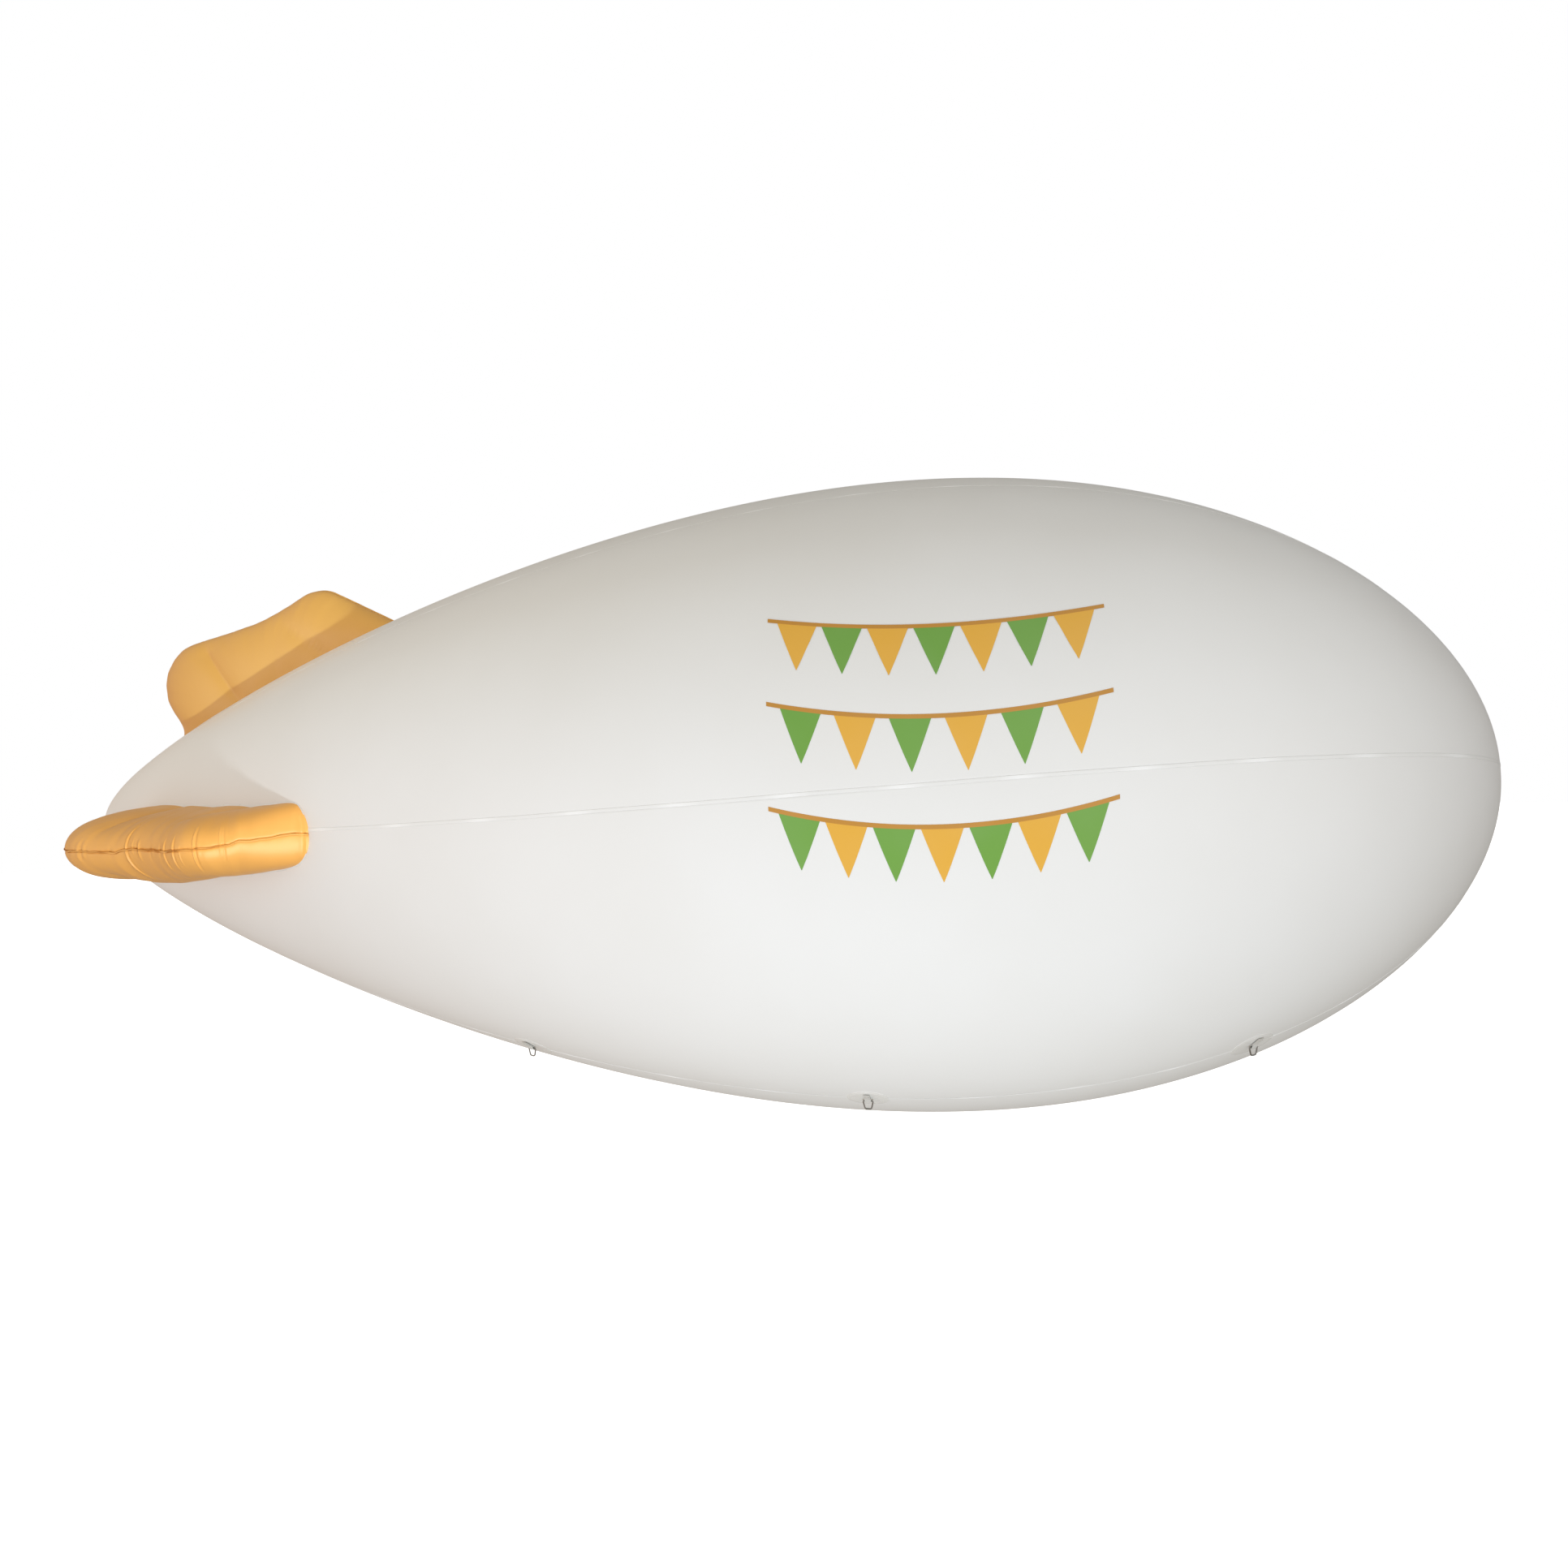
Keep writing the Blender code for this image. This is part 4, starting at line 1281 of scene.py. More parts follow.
class BLIMP_OT_fins(bpy.types.Operator):
    """Presses half a sphere into each fin panel, folds its rim and welds it to the envelope"""

    bl_idname = "blimp.fins"
    bl_label = "Fins"

    def execute(self, context):
        sizes = context.scene.blimp_fins
        name, tones = "calendered golden PVC film", ("golden_film", "golden_film_deep")
        film = calendered_film(name, *tones, rough=0.40, shine=0.35)
        root_film = welded_film("welded white PVC root", rough=0.28)
        for place, bearing, panels in FINS:
            share = FIN_FORMS[place]["grid"]
            columns = round(sizes.columns * share)
            dome = self.half_sphere(columns, round(sizes.rings * share))
            roots = []
            for panel, side in panels:
                skin, root = self.panel(dome, place, panel, side, bearing, columns, sizes)
                finished(skin, film, nodes=[f"fin_{place}_{panel}_panel"])
                roots.append(root)
            self.rim_weld(place, bearing, film, columns)
            self.root_weld(place, bearing, roots, root_film, sizes)
            bpy.data.objects.remove(dome)
        return {"FINISHED"}

    def half_sphere(self, columns, rings):
        """An arc from pole to rim, spun round: each ring of points becomes a ring of a panel."""
        share = 1 - (1 - np.linspace(0.0, 1.0, rings + 1)) ** RING_CROWDING
        leans = np.arcsin(share ** (SQUARENESS / 2))
        arc = drawn_line("fin_pattern", [Vector((math.sin(a), 0.0, math.cos(a))) for a in leans])
        bpy.ops.mesh.spin(steps=columns, angle=2 * math.pi, center=(0, 0, 0), axis=(0, 0, 1))
        bpy.ops.mesh.select_all(action="SELECT")
        bpy.ops.mesh.remove_doubles(threshold=1e-5)
        bpy.ops.object.mode_set(mode="OBJECT")
        settle_object(arc)
        return arc

    def panel(self, dome, place, panel, side, bearing, columns, sizes):
        """One skin of a fin, and the line on which it meets the envelope."""
        form = FIN_FORMS[place]
        ball = points_of(dome)
        outline, along = even_outline(columns)
        column = np.rint(np.arctan2(ball[:, 1], ball[:, 0]) / (2 * np.pi) * columns).astype(int) % columns
        lean = np.arctan2(np.hypot(ball[:, 0], ball[:, 1]), ball[:, 2])
        run = along[column]
        squareness = SQUARENESS + (FRONT_SQUARENESS - SQUARENESS) * bell(run - FRONT_CORNER, FRONT_REACH)
        share = np.sin(lean) ** (2 / squareness)
        from_centre = share[:, None] * (outline[column] - FIN_CENTRE)
        flat = FIN_CENTRE + from_centre
        slim = read_off(THICKNESS, flat[:, 0]) * read_off(TAIL_THICKNESS[place], flat[:, 0])
        height = sizes.rim + (sizes.half_thickness * slim - sizes.rim) * np.cos(lean)
        points = np.stack((envelope().nose_x - flat[:, 0], side * height, flat[:, 1]), axis=-1)

        skin = copied(dome, f"fin_film_{place}_{panel}", points)
        face_towards(skin, (0, side, 0))
        # Folds and creases lie along the skin's own normals
        normal = vectors_of(skin.data.vertex_normals, "vector")
        from_rim = self.distance_from_rim(points, column, lean)
        where, half_width, reach = BULGE
        relief = self.folds(place, side, run, from_rim)
        relief += form["bulge"] * bell(run - where, half_width) * bell(from_rim, reach, power=4)
        relief += self.creases(form, flat) * np.abs(normal[:, 1])
        points += normal * relief[:, None]
        depth, width = RIM_GROOVE
        drawn_in = from_centre * (depth * bell(from_rim, width))[:, None]
        points[:, 0] += drawn_in[:, 0]
        points[:, 1] += rim_wander(place, run) * bell(from_rim, RIM_REACH)
        points[:, 2] -= drawn_in[:, 1]
        points = sagged(place, points, bearing)
        place_points(skin, points)
        root = self.root_line(points, column, lean)
        self.cut_to_hull(skin, points)
        place_points(skin, self.turned_to(points_of(skin), bearing))
        thickened(skin, sizes.film)
        return skin, root

    def distance_from_rim(self, points, column, lean):
        """Distance over the skin from the rim, for each point."""
        order = np.lexsort((-lean, column))
        steps = np.diff(run_along(points[order]), prepend=0.0)
        first = np.diff(column[order], prepend=-1) != 0
        total = np.cumsum(np.where(first, 0.0, steps))
        found = np.empty(len(points))
        found[order] = total - np.maximum.accumulate(np.where(first, total, 0.0))
        return found

    def folds(self, place, side, run, from_rim):
        relief = np.zeros(len(run))
        for where, half_width, reach_up, reach_down, height, bow in rim_folds(place):
            reach = reach_up if side > 0 else reach_down
            middle = where - bow * from_rim**2
            relief += height * bell(run - middle, half_width) * bell(from_rim, reach, power=4)
        return relief

    def creases(self, form, flat):
        """Broad creases across a panel, and its turn towards the hull."""
        relief = np.zeros(len(flat))
        fade_in, fade_out = CREASE_FADES
        for start, end, depth, width in CREASES:
            along, beside, length = along_and_beside(flat, start, end)
            window = np.clip(along / fade_in, 0, 1) * np.clip((length - along) / fade_out + CREASE_LEFT, 0, 1)
            relief -= form["creases"] * depth * window * np.exp(-np.hypot(beside, CREASE_ROUND) / width)
        _, below, _ = along_and_beside(flat, *HULL_SIDE_LINE)
        turned_in = np.clip(np.hypot(below, TURN_ROUND) + below, 0, TURN_REACH)
        return relief - form["hull_side_slope"] * turned_in / 2

    def cut_to_hull(self, skin, points):
        """Removes the faces that lie well inside the envelope."""
        inside = self.depth_in_hull(points) > FIN_ROOT_DEPTH
        hidden = [all(inside[corner] for corner in face.vertices) for face in skin.data.polygons]
        edit(skin)
        bpy.ops.mesh.select_mode(type="FACE")
        bpy.ops.mesh.select_all(action="DESELECT")
        bpy.ops.object.mode_set(mode="OBJECT")
        skin.data.polygons.foreach_set("select", hidden)
        bpy.ops.object.mode_set(mode="EDIT")
        bpy.ops.mesh.delete(type="FACE")
        bpy.ops.mesh.select_mode(type="VERT")
        bpy.ops.object.mode_set(mode="OBJECT")

    def depth_in_hull(self, points):
        """How far points in the fin's own frame lie inside the envelope."""
        return hull_radius(station_of(points[:, 0])) - np.hypot(points[:, 1], points[:, 2])

    def root_line(self, points, column, lean):
        """Where the panel meets the envelope, from the front round to the back."""
        order = np.lexsort((-lean, column))
        depth = self.depth_in_hull(points)
        found = []
        for here, there in zip(order, order[1:]):
            if column[here] == column[there] and depth[here] <= 0 < depth[there]:
                share = depth[here] / (depth[here] - depth[there])
                found.append(points[here] * (1 - share) + points[there] * share)
        return np.array(found)

    def turned_to(self, points, bearing):
        """Points of the fin's own frame, where it stands up, turned to the fin's bearing."""
        y, z = rotated(points[:, 1], points[:, 2], math.radians(90 - bearing))
        return np.stack((points[:, 0], y, z), axis=-1)

    def outwards(self, ways, line, centre):
        """Ways off a line's points, made as long as 1 and turned away from its centre."""
        ways = ways / np.linalg.norm(ways, axis=1)[:, None]
        return ways * np.sign(((line - centre) * ways).sum(axis=1))[:, None]

    def root_weld(self, place, bearing, roots, weld, sizes):
        """The narrow weld that holds a fin to the envelope, laid round the whole root."""
        loop = np.vstack((roots[0], roots[1][::-1], roots[0][:1]))
        line = points_along(loop, np.linspace(0.0, run_along(loop)[-1], ROOT_STEPS + 1))[:-1]
        for _ in range(ROOT_SMOOTHINGS):
            line = (np.roll(line, 1, axis=0) + line * 2 + np.roll(line, -1, axis=0)) / 4
        ahead, away = hull_normal(station_of(line[:, 0]))
        radial = line[:, 1:] / np.linalg.norm(line[:, 1:], axis=1)[:, None]
        normal = np.column_stack((ahead, away[:, None] * radial))
        way = np.roll(line, -1, axis=0) - np.roll(line, 1, axis=0)
        outer = self.outwards(np.cross(way, normal), line, line.mean(axis=0))

        ribbon, along, across = grid_sheet(f"weld_root_{place}", ROOT_STEPS, 5)
        step = np.rint(along * ROOT_STEPS).astype(int) % ROOT_STEPS
        reach = across * (sizes.flange + ROOT_TUCK) - ROOT_TUCK
        spot = line[step] + outer[step] * reach[:, None]
        height, bead, bead_width, drop = ROOT_RISE
        rise = height + bead * bell(reach, bead_width) - drop * (across > 0.99)
        radius = hull_radius(station_of(spot[:, 0])) + rise
        spot[:, 1:] *= (radius / np.hypot(spot[:, 1], spot[:, 2]))[:, None]
        place_points(ribbon, self.turned_to(spot, bearing))
        outward_normals(ribbon)
        thickened(ribbon, ROOT_FILM, 0.0)
        outward_normals(ribbon)
        finished(ribbon, weld)

    def rim_weld(self, place, bearing, film, columns):
        """The narrow welded edge where a fin's two panels meet, tipped now up, now down."""
        outline, run = even_outline(columns)
        over = outline[:, 1] > hull_radius(outline[:, 0] / envelope().hull_length) - RIM_WELD_HALF
        outline, run = outline[over], run[over]
        tangent = np.gradient(outline, axis=0)
        away = self.outwards(np.stack((tangent[:, 1], -tangent[:, 0]), axis=-1), outline, FIN_CENTRE)
        ribbon, along, across = grid_sheet(f"weld_fin_{place}", len(run) - 1, 4)
        step = np.rint(along * (len(run) - 1)).astype(int)
        tip = np.radians(read_off(RIM_TIPS[place], run))[step]
        reach = (2 * across - 1) * RIM_WELD_HALF
        out = np.where(reach > 0, reach * np.cos(tip), reach)
        lift = rim_wander(place, run)[step] + np.maximum(reach, 0) * np.sin(tip)
        spot = outline[step] + away[step] * (out + RIM_WELD_OUT)[:, None]
        points = np.stack((envelope().nose_x - spot[:, 0], lift, spot[:, 1]), axis=-1)
        place_points(ribbon, self.turned_to(sagged(place, points, bearing), bearing))
        thickened(ribbon, RIM_WELD_FILM, 0.0)
        outward_normals(ribbon)
        finished(ribbon, film)


# Tether points

# Room between a piece and what it lies on, as in the frame
GAP = 0.0003
ROUND_RINGS = 10
ROUND_FILM = 0.0005
PATCH_WELD = 0.008
PATCH_FOLDS = 16


def bar_height(sizes):
    """How far a ring's bar stands off the skin, as in the frame: patch, one ply, play and half the wire."""
    return GAP + sizes.patch_film + GAP + sizes.webbing_ply + sizes.play + sizes.wire


def welded_round(name, station, bearing, radius, weld, folds, film, node, draw):
    """A round of film welded on the envelope at a place, where it bridges the seam's puckers."""
    disc, _, _, height = film_round(name, radius, weld, ROUND_RINGS, folds, draw)
    place = hull_frame(station, bearing)
    world = moved_by(place, points_of(disc) * (1, 1, 0))
    station, bearing = station_of(world[:, 0]), np.degrees(np.arctan2(world[:, 2], -world[:, 1]))
    relief = np.maximum(skin_relief(station, bearing), -envelope().pinch)
    place_points(disc, on_skin(station, bearing, GAP + height + relief))
    face_towards(disc, place.col[2][:3])
    thickened(disc, ROUND_FILM)
    finished(disc, film, nodes=[node])


class BLIMP_OT_patches(bpy.types.Operator):
    """Welds a round patch to the film at each tether point"""

    bl_idname = "blimp.patches"
    bl_label = "Patches"

    def execute(self, context):
        radius = context.scene.blimp_tethers.patch_radius
        film = calendered_film("welded patch film", "patch_film", "white_film_shade", rough=0.26)
        draw = np.random.default_rng(seed=41)
        for name, station, bearing in tether_places():
            piece, node = f"patch_film_{name}", f"patch_{name}"
            welded_round(piece, station, bearing, radius, PATCH_WELD, PATCH_FOLDS, film, node, draw)
        return {"FINISHED"}


WEBBING_STEPS = 110
WEBBING_ROWS = 10
# The lower ply's points up the patch, and the fold's angles round the bar: first, last, step
WEBBING_LOW = (0.022, 0.010, 0.003)
WEBBING_TURN = (265, 48, -9)
# The strap's woven edge: how far it is rounded, and the share of the ply that the drawn strap fills
WEBBING_EDGE = 0.0004
WEBBING_FILL = 0.94
# Upper ply between the fold and its flat lie: distance up the patch, height over the flat lie
WEBBING_RISE = ((0.0062, 0.0031), (0.0095, 0.0012), (0.0135, 0.0002), (0.018, 0.0), (0.030, 0.0))
STITCH_PITCH = 0.0036
STITCH_WIRE = 0.00042
STITCH_SHARE = 0.84
STITCH_DIP = 0.0003
# The sewn box: how far inside the strap's edges and end it lies, and where it starts
STITCH_MARGIN = 0.0030
STITCH_START = 0.0165


class BLIMP_OT_webbing(bpy.types.Operator):
    """Folds a strap round each ring's bar and sews its two plies together"""

    bl_idname = "blimp.webbing"
    bl_label = "Webbing loops"

    def execute(self, context):
        sizes = context.scene.blimp_tethers
        strap, thread = self.strap(sizes), self.stitching(sizes)
        weave, yarn = polyester_webbing(), polyester_thread()
        for name, station, bearing in tether_places():
            place = hull_frame(station, bearing)
            for pattern, piece, finish, nodes in (
                (strap, f"strap_{name}", weave, [f"webbing_{name}"]),
                (thread, f"stitching_{name}", yarn, []),
            ):
                made = copied(pattern, piece, moved_by(place, points_of(pattern)))
                finished(made, finish, nodes=nodes, smooth_angle=50)
        for pattern in (strap, thread):
            bpy.data.objects.remove(pattern)
        return {"FINISHED"}

    def path(self, sizes):
        """The strap's middle line, as (up the patch, off the skin).

        It runs down the lower ply, round the bar and back up the upper ply.
        """
        bar = bar_height(sizes)
        turn = sizes.wire + sizes.play + sizes.webbing_ply / 2
        low = bar - turn
        high = low + sizes.webbing_ply
        points = [(up, low) for up in (sizes.webbing_tail - WEBBING_EDGE, *WEBBING_LOW)]
        for angle in np.radians(range(*WEBBING_TURN)):
            points.append((turn * math.cos(angle), bar + turn * math.sin(angle)))
        points += [(up, high + rise) for up, rise in WEBBING_RISE]
        return np.array(points + [(sizes.webbing_tail, high)])

    def strap(self, sizes):
        strap, along, across = grid_sheet("strap_pattern", WEBBING_STEPS, WEBBING_ROWS)
        path = self.path(sizes)
        line = points_along(path, along * run_along(path)[-1])
        width = sizes.webbing_width - 2 * WEBBING_EDGE
        place_points(strap, np.column_stack(((across - 0.5) * width, line)))
        thickened(strap, sizes.webbing_ply * WEBBING_FILL, 0.0)
        with_modifier(strap, "BEVEL", width=WEBBING_EDGE, segments=2, limit_method="ANGLE")
        outward_normals(strap)
        return strap

    def stitching(self, sizes):
        """A sewn box with a cross in it, as small rounded stitches."""
        top = bar_height(sizes) - sizes.wire - sizes.play + sizes.webbing_ply
        half = sizes.webbing_width / 2 - STITCH_MARGIN
        low, high = STITCH_START, sizes.webbing_tail - STITCH_MARGIN
        corners = ((-half, low), (half, low), (half, high), (-half, high))
        lines = list(zip(corners, corners[1:] + corners[:1]))
        lines += [(corners[0], corners[2]), (corners[1], corners[3])]
        stitches = []
        for start, end in lines:
            start, end = Vector(start), Vector(end)
            length = (end - start).length
            count = max(2, round(length / STITCH_PITCH))
            for i in range(count):
                spot = start.lerp(end, (i + 0.5) / count)
                stitches.append(self.stitch(spot, end - start, STITCH_SHARE * length / count / 2, top))
        return joined(stitches, "stitch_pattern")

    def stitch(self, spot, way, half, top):
        """A small ball drawn out along the seam and pressed into the webbing at its ends."""
        deselect()
        bpy.ops.mesh.primitive_uv_sphere_add(segments=8, ring_count=6, radius=STITCH_WIRE)
        stitch = begin("stitch")
        along, aside, off = points_of(stitch).T
        along = along * half / STITCH_WIRE
        off = off - STITCH_DIP * (along / half) ** 2
        x, y = rotated(along, aside, math.atan2(way.y, way.x))
        place_points(stitch, np.stack((x + spot.x, y + spot.y, off + top), axis=-1))
        return stitch


RING_SEGMENTS = 120
RING_SIDES = 16
RING_CORNER_STEPS = 12
RING_BAR_CORNER = 0.0035
RING_BOW_CORNER = 0.0065
# The butt weld in the middle of the bar is a low collar: its height as a share of the wire, its half width
RING_COLLAR = (0.07, 0.0011)


class BLIMP_OT_rings(bpy.types.Operator):
    """Bends a torus into a D-ring and hangs a copy from each tether point"""

    bl_idname = "blimp.rings"
    bl_label = "Rings"

    def execute(self, context):
        pattern = self.ring(context.scene.blimp_tethers)
        steel = plated_steel()
        joints = {joint["name"]: joint for joint in frame["joints"]}
        for name, _, _ in tether_places():
            joint = joints[f"ring_swing_{name}"]
            level = Vector(joint["axis"]).normalized()
            up = Vector((0, 0, 1))
            hang = Matrix((level, up, level.cross(up))).transposed().to_4x4()
            hang.translation = Vector(joint["pos_m"])
            made = copied(pattern, f"d_ring_{name}", moved_by(hang, points_of(pattern)))
            finished(made, steel, body=f"tether_ring_{name}", nodes=[f"ring_{name}"])
        bpy.data.objects.remove(pattern)
        return {"FINISHED"}

    def ring(self, sizes):
        deselect()
        bpy.ops.mesh.primitive_torus_add(
            major_segments=RING_SEGMENTS, minor_segments=RING_SIDES, major_radius=1.0, minor_radius=0.1
        )
        ring = begin("ring_pattern")
        ball = points_of(ring)
        corners = (
            (sizes.bar_half, 0.0, RING_BAR_CORNER),
            (sizes.bow_half, -sizes.depth, RING_BOW_CORNER),
            (-sizes.bow_half, -sizes.depth, RING_BOW_CORNER),
            (-sizes.bar_half, 0.0, RING_BAR_CORNER),
        )
        line = rounded_outline(corners, RING_CORNER_STEPS)
        length = run_along(line)[-1]
        along = (np.arctan2(ball[:, 1], ball[:, 0]) / (2 * np.pi)) % 1.0 * length
        middle = points_along(line, along)
        ahead, back = (points_along(line, (along + step) % length) for step in (1e-4, -1e-4))
        way = (ahead - back) / np.linalg.norm(ahead - back, axis=1)[:, None]
        side = np.stack((way[:, 1], -way[:, 0]), axis=-1)
        spin = np.arctan2(ball[:, 2], np.hypot(ball[:, 0], ball[:, 1]) - 1.0)
        # Off the bar the collar is far away
        to_weld = np.minimum(np.abs(along - length), np.abs(middle[:, 0]) + 100 * (middle[:, 1] < -1e-3))
        rise, half_width = RING_COLLAR
        wire = sizes.wire * (1 + rise * bell(to_weld, half_width))
        out = (wire * np.cos(spin))[:, None]
        place_points(ring, np.column_stack((middle + side * out, wire * np.sin(spin))))
        outward_normals(ring)
        return ring


# Filling valve

FLANGE_WELD = 0.007
FLANGE_FOLDS = 8
# Ridges round the neck for the filling clamp: how many, how high, how far below the top, how far apart
RIDGES = 3
RIDGE_HEIGHT = 0.0006
RIDGE_START = 0.0050
RIDGE_PITCH = 0.0036
RIDGE_HALF = 0.0012
# The hinge's two ears: width, foot over the skin, how far they stand past the hinge and over it
EAR_WIDTH = 0.0030
EAR_FOOT = 0.012
EAR_PAST = 0.0022
# Room between the lid's rim and the ears
EAR_ROOM = 0.0018
# The thumb lip on the lid's far side: half its width, how far it stands out from the rim and runs in
LIP_HALF = 0.0045
LIP_REACH = 0.0020
# Faces round the turned body and lid
BODY_STEPS = 72
LID_STEPS = 96
# Finger grips round the lid's rim: how many, and their depth as a share of the radius
GRIPS = 24
GRIP_DEPTH = 0.018


def spun(name, profile, steps):
    """A body turned about Z from a side line of (radius, height)."""
    obj = drawn_line(name, [Vector((radius, 0.0, height)) for radius, height in profile])
    bpy.ops.mesh.spin(steps=steps, angle=2 * math.pi, center=(0, 0, 0), axis=(0, 0, 1))
    bpy.ops.object.mode_set(mode="OBJECT")
    settle_object(obj)
    outward_normals(obj)
    return obj


def block(name, low, high, bevel):
    """A box between two corners with rounded edges."""
    deselect()
    middle = (Vector(low) + Vector(high)) / 2
    bpy.ops.mesh.primitive_cube_add(size=1.0, location=middle)
    obj = begin(name)
    bpy.ops.transform.resize(value=Vector(high) - Vector(low), center_override=middle)
    settle_object(obj)
    with_modifier(obj, "BEVEL", width=bevel, segments=3)
    return obj


class BLIMP_OT_valve(bpy.types.Operator):
    """Turns the valve's body, sets its ears and hangs its lid"""

    bl_idname = "blimp.valve"
    bl_label = "Filling valve"

    def execute(self, context):
        sizes = context.scene.blimp_valve
        station, bearing = sizes.station, math.degrees(sizes.bearing)
        film = calendered_film("welded flange film", "patch_film", "white_film_shade", rough=0.3)
        plastic = moulded_pvc()
        draw = np.random.default_rng(seed=53)
        name, node = "flange_film_valve", "valve_flange"
        welded_round(name, station, bearing, sizes.flange_radius, FLANGE_WELD, FLANGE_FOLDS, film, node, draw)
        place = hull_frame(station, bearing)
        for piece, name, body, node in (
            (self.body(sizes), "moulding_valve_body", "envelope", "valve_body"),
            (self.lid(sizes), "moulding_valve_lid", "valve_lid", "valve_lid"),
        ):
            place_points(piece, moved_by(place, points_of(piece)))
            finished(named(piece, name), plastic, body=body, nodes=[node], smooth_angle=40)
        return {"FINISHED"}

    def body(self, sizes):
        top, radius, socket, foot = sizes.height, sizes.radius, sizes.socket_radius, sizes.foot_radius
        profile = [
            (0.0, top - sizes.socket_depth),
            (socket - 0.0008, top - sizes.socket_depth),
            (socket, top - sizes.socket_depth + 0.0008),
            (socket, top - 0.0010),
            (socket + 0.0010, top),
            (radius - 0.0020, top),
            (radius - 0.0006, top - 0.0006),
            (radius, top - 0.0020),
        ]
        for number in range(RIDGES):
            crest = top - RIDGE_START - number * RIDGE_PITCH
            for out, up in ((-RIDGE_HEIGHT, RIDGE_HALF), (0.0, 0.0), (-RIDGE_HEIGHT, -RIDGE_HALF)):
                profile.append((radius + out, crest + up))
        profile += [
            (radius, 0.0080),
            (radius + 0.0012, 0.0064),
            (foot - 0.0012, 0.0052),
            (foot, 0.0040),
            (foot, 0.0012),
            (0.0, 0.0012),
        ]
        pieces = [spun("valve_body_pattern", profile, BODY_STEPS)]
        hinge = top + GAP + sizes.lid_thickness / 2
        inner = sizes.hinge_width / 2 + GAP
        start, end = sizes.lid_radius + EAR_ROOM, sizes.hinge_reach + EAR_PAST
        for left, right in ((-inner - EAR_WIDTH, -inner), (inner, inner + EAR_WIDTH)):
            pieces.append(block("ear", (left, start, EAR_FOOT), (right, end, hinge + EAR_PAST), bevel=0.0007))
        return joined(pieces, "valve_body_pattern")

    def lid(self, sizes):
        """A dished disc with finger grips, the hinge's arm and knuckle, and a thumb lip on the far side."""
        radius = sizes.lid_radius
        low = sizes.height + GAP
        high = low + sizes.lid_thickness
        profile = (
            (0.0, low),
            (radius - 0.0008, low),
            (radius, low + 0.0008),
            (radius, high - 0.0009),
            (radius - 0.0009, high),
            (radius - 0.0040, high),
            (radius - 0.0052, high - 0.0010),
            (0.0075, high - 0.0010),
            (0.0065, high - 0.0002),
            (0.0, high - 0.0002),
        )
        disc = spun("valve_lid_pattern", profile, LID_STEPS)
        points = points_of(disc)
        turn = np.arctan2(points[:, 1], points[:, 0])
        at_rim = np.hypot(points[:, 0], points[:, 1]) > radius - 0.0002
        points[:, :2] *= (1 - GRIP_DEPTH * (0.5 + 0.5 * np.cos(GRIPS * turn)) * at_rim)[:, None]
        place_points(disc, points)
        half = sizes.hinge_width / 2
        arm = block("arm", (-half, radius - 0.0030, low), (half, sizes.hinge_reach, high), bevel=0.0005)
        deselect()
        bpy.ops.mesh.primitive_cylinder_add(
            vertices=32,
            radius=sizes.hinge_radius,
            depth=sizes.hinge_width,
            location=(0, sizes.hinge_reach, (low + high) / 2),
            rotation=(0, math.pi / 2, 0),
        )
        knuckle = begin("knuckle")
        settle_object(knuckle)
        with_modifier(knuckle, "BEVEL", width=0.0003, segments=2, limit_method="ANGLE")
        outer = (-LIP_HALF, -radius - LIP_REACH, low + 0.0006)
        inner = (LIP_HALF, -radius + LIP_REACH, high - 0.0004)
        lip = block("lip", outer, inner, bevel=0.0006)
        return joined([disc, arm, knuckle, lip], "valve_lid_pattern")


# Printed bunting

# Rows of pennants on a flank: bearing of the row's ends, pennants in it, and which colour comes first
PRINT_ROWS = ((31.5, 7, 0), (17.8, 6, 1), (2.6, 7, 1))
# How much higher the rows sit on the port flank, so that they clear the seam there, in degrees
PRINT_LIFT = {"starboard": 0.0, "port": 7.0}
PRINT_TONES = ("amber", "green")
PENNANT_CUTS = 10
# Share of its pitch that a pennant fills at most
PENNANT_SHARE = 0.94
# How a pennant's sides bow in towards its tip, where 1 is straight, and its tip's share of its width
PENNANT_BOW = 0.92
PENNANT_TIP = 0.012
CORD_HALF = 0.006
CORD_CUTS = 60
CORD_OVERHANG = 0.02
# Heights over the skin: the pennants, and the cord that laps over them
PENNANT_LIFT = 0.00012
CORD_LIFT = 0.00022


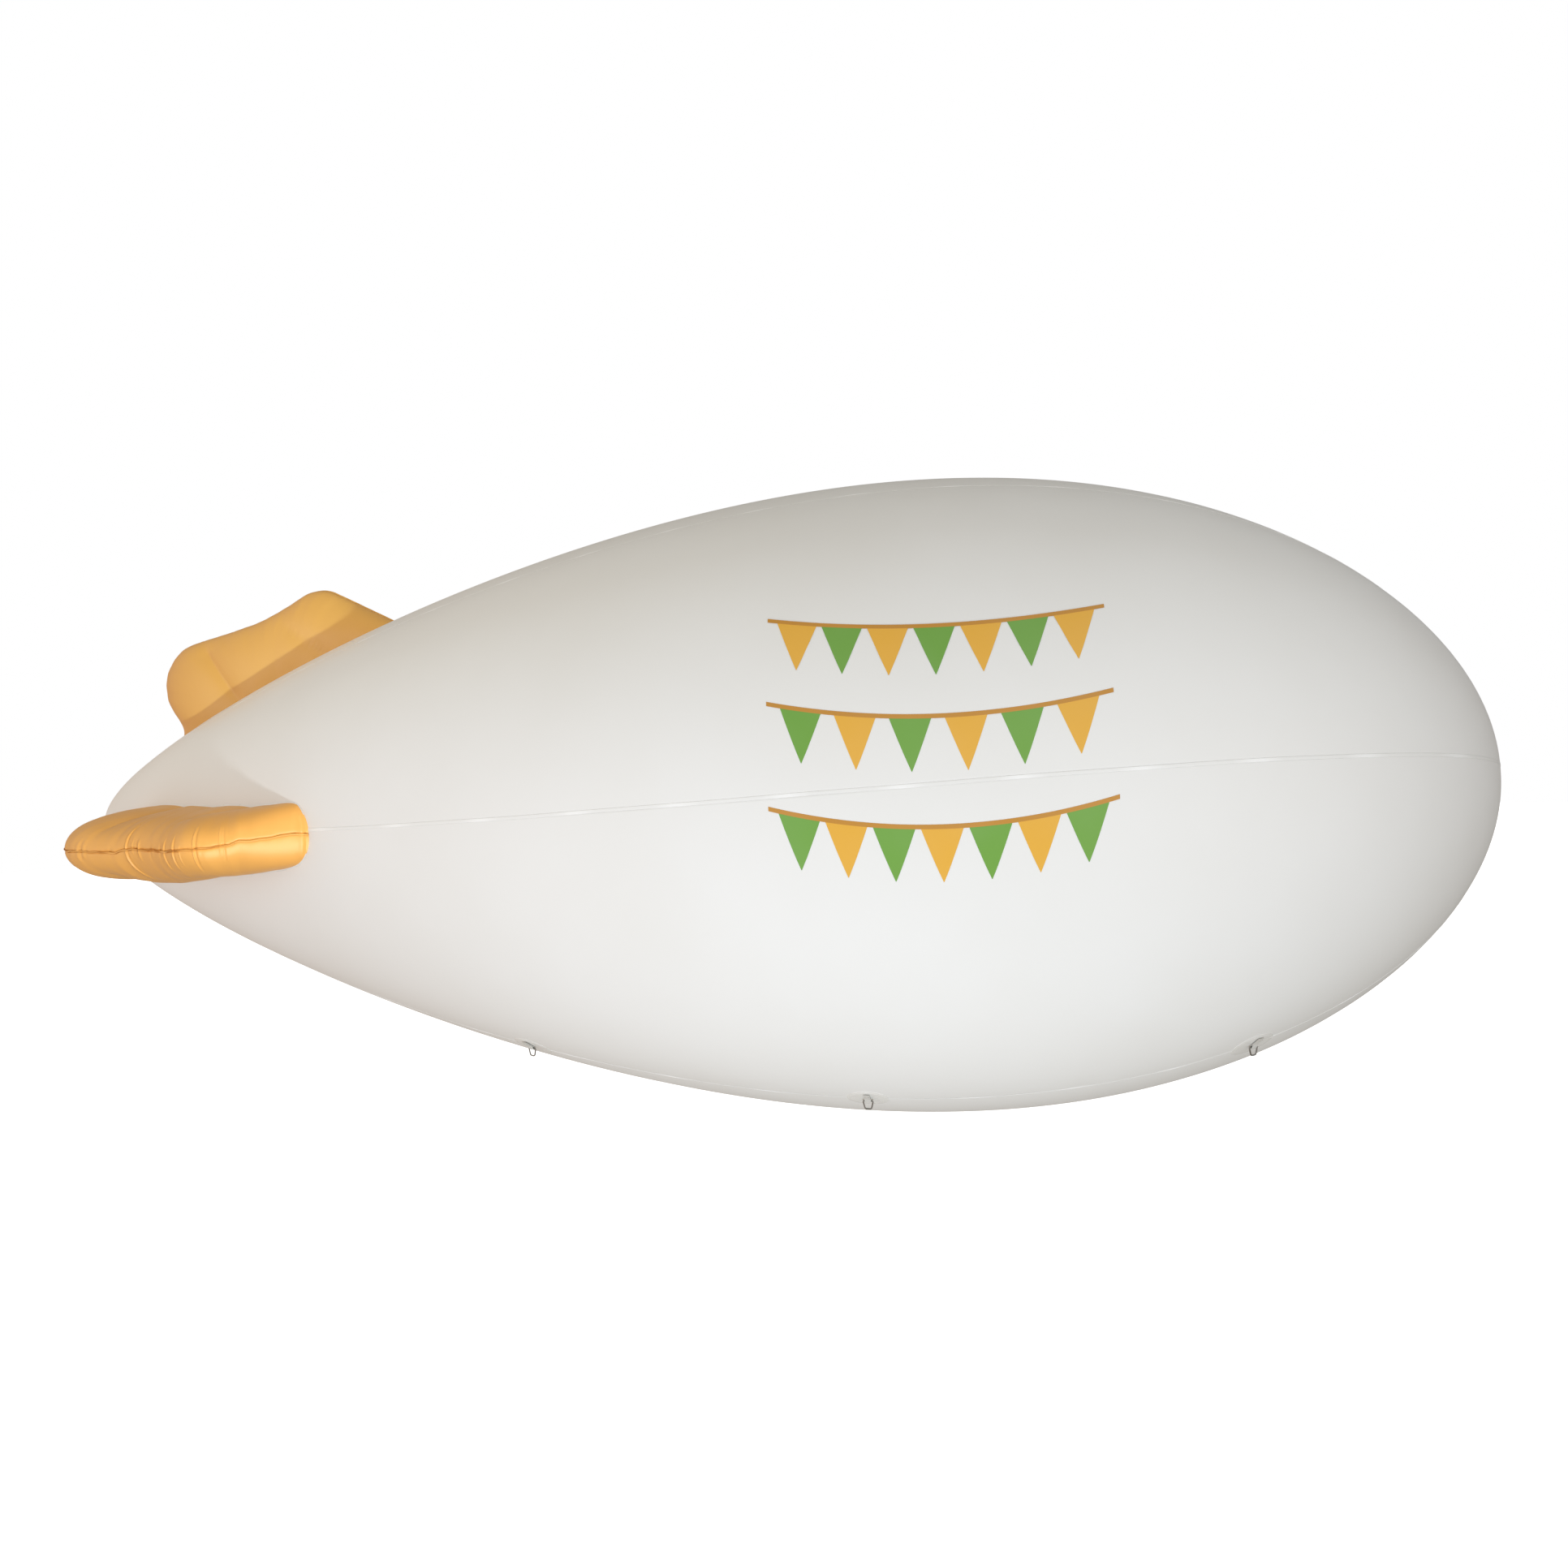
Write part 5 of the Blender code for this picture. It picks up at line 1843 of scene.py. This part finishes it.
class BLIMP_OT_bunting(bpy.types.Operator):
    """Sticks rows of amber and green pennants on both flanks"""

    bl_idname = "blimp.bunting"
    bl_label = "Printed bunting"

    def execute(self, context):
        sizes = context.scene.blimp_print
        vinyls = {tone: cut_vinyl(f"cut {tone} vinyl", f"{tone}_print") for tone in PRINT_TONES}
        cord_vinyl = cut_vinyl("cut ochre vinyl", "cord_print")
        pennant, cord = self.pennant(sizes), self.cord(sizes)
        for flank, lift in PRINT_LIFT.items():
            flags = {tone: [] for tone in PRINT_TONES}
            cords = []
            for row, (bearing, count, first) in enumerate(PRINT_ROWS):
                bearing += lift
                pitch = sizes.row_width / count
                for number in range(count):
                    middle = (number + 0.5) * pitch - sizes.row_width / 2
                    flat, name = self.hung(points_of(pennant), middle, pitch, sizes), f"flag_{row}_{number}"
                    flag = self.stuck(pennant, name, flat, bearing, flank, PENNANT_LIFT, sizes)
                    flags[PRINT_TONES[(number + first) % 2]].append(flag)
                flat = points_of(cord)
                flat[:, 1] -= self.drop(flat[:, 0], sizes)
                cords.append(self.stuck(cord, f"cord_{row}", flat, bearing, flank, CORD_LIFT, sizes))
            for tone, vinyl in vinyls.items():
                print_piece = joined(flags[tone], f"print_pennants_{tone}_{flank}")
                finished(print_piece, vinyl, smooth_angle=30)
            finished(joined(cords, f"print_cords_{flank}"), cord_vinyl, smooth_angle=30)
        for pattern in (pennant, cord):
            bpy.data.objects.remove(pattern)
        return {"FINISHED"}

    def drop(self, along, sizes):
        """How far a row hangs below its ends at a place along it."""
        return sizes.sag * (1 - (2 * along / sizes.row_width) ** 2)

    def hung(self, flat, middle, pitch, sizes):
        """A pennant's points, narrowed to its pitch and hung from its row's line there."""
        step = 0.001
        slope = (self.drop(middle + step, sizes) - self.drop(middle, sizes)) / step
        flat[:, 0] *= min(1.0, pitch / sizes.pennant_width * PENNANT_SHARE)
        flat[:, 1] -= flat[:, 0] * slope + self.drop(middle, sizes)
        flat[:, 0] += middle
        return flat

    def pennant(self, sizes):
        pennant, along, across = grid_sheet("pennant_pattern", PENNANT_CUTS, PENNANT_CUTS)
        # The sides bow in a little towards the tip, as cloth pennants are cut
        width = sizes.pennant_width * np.maximum(across**PENNANT_BOW, PENNANT_TIP)
        x, y = (along - 0.5) * width, (across - 1) * sizes.pennant_height
        place_points(pennant, np.stack((x, y, 0 * x), axis=-1))
        return pennant

    def cord(self, sizes):
        cord, along, across = grid_sheet("cord_pattern", CORD_CUTS, 2)
        x = (2 * along - 1) * (sizes.row_width / 2 + CORD_OVERHANG)
        place_points(cord, np.stack((x, (2 * across - 1) * CORD_HALF, 0 * x), axis=-1))
        return cord

    def stuck(self, pattern, name, flat, bearing, flank, lift, sizes):
        """A flat cut of vinyl laid on the skin, X towards the nose and Y up, or mirrored to port."""
        station = station_of(sizes.middle_x + flat[:, 0])
        turn = bearing + np.degrees(flat[:, 1] / hull_radius(station))
        turn = 180 - turn if flank == "port" else turn
        made = copied(pattern, name, on_skin(station, turn, skin_relief(station, turn) + lift))
        thickened(made, sizes.film, -1.0 if flank == "port" else 1.0)
        outward_normals(made)
        return made


class BLIMP_PT_panel(bpy.types.Panel):
    """Lists the steps and their sizes"""

    bl_idname = "BLIMP_PT_panel"
    bl_label = "Advertising blimp"
    bl_space_type = "VIEW_3D"
    bl_region_type = "UI"
    bl_category = "Blimp"

    def draw(self, context):
        for step in STEPS:
            self.layout.operator(step.bl_idname)
        for name, group in GROUPS.items():
            box = self.layout.box()
            box.label(text=group.__doc__)
            for key in group.__annotations__:
                box.prop(getattr(context.scene, name), key)


GROUPS = {
    "blimp_envelope": BlimpEnvelope,
    "blimp_fins": BlimpFins,
    "blimp_tethers": BlimpTethers,
    "blimp_valve": BlimpValve,
    "blimp_print": BlimpPrint,
    "blimp_colours": BlimpColours,
    "blimp_stage": BlimpStage,
}
# In the order in which they are run
STEPS = (
    BLIMP_OT_gores,
    BLIMP_OT_seams,
    BLIMP_OT_caps,
    BLIMP_OT_fins,
    BLIMP_OT_patches,
    BLIMP_OT_webbing,
    BLIMP_OT_rings,
    BLIMP_OT_valve,
    BLIMP_OT_bunting,
    BLIMP_OT_stage,
)


def register():
    for name, group in GROUPS.items():
        bpy.utils.register_class(group)
        setattr(bpy.types.Scene, name, PointerProperty(type=group))
    for step in STEPS:
        bpy.utils.register_class(step)
    bpy.utils.register_class(BLIMP_PT_panel)


def unregister():
    bpy.utils.unregister_class(BLIMP_PT_panel)
    for step in reversed(STEPS):
        bpy.utils.unregister_class(step)
    for name, group in GROUPS.items():
        delattr(bpy.types.Scene, name)
        bpy.utils.unregister_class(group)


def main():
    register()
    bpy.ops.blimp.gores()
    bpy.ops.blimp.seams()
    bpy.ops.blimp.caps()
    bpy.ops.blimp.fins()
    bpy.ops.blimp.patches()
    bpy.ops.blimp.webbing()
    bpy.ops.blimp.rings()
    bpy.ops.blimp.valve()
    bpy.ops.blimp.bunting()
    bpy.ops.blimp.stage()


if __name__ == "__main__":
    main()
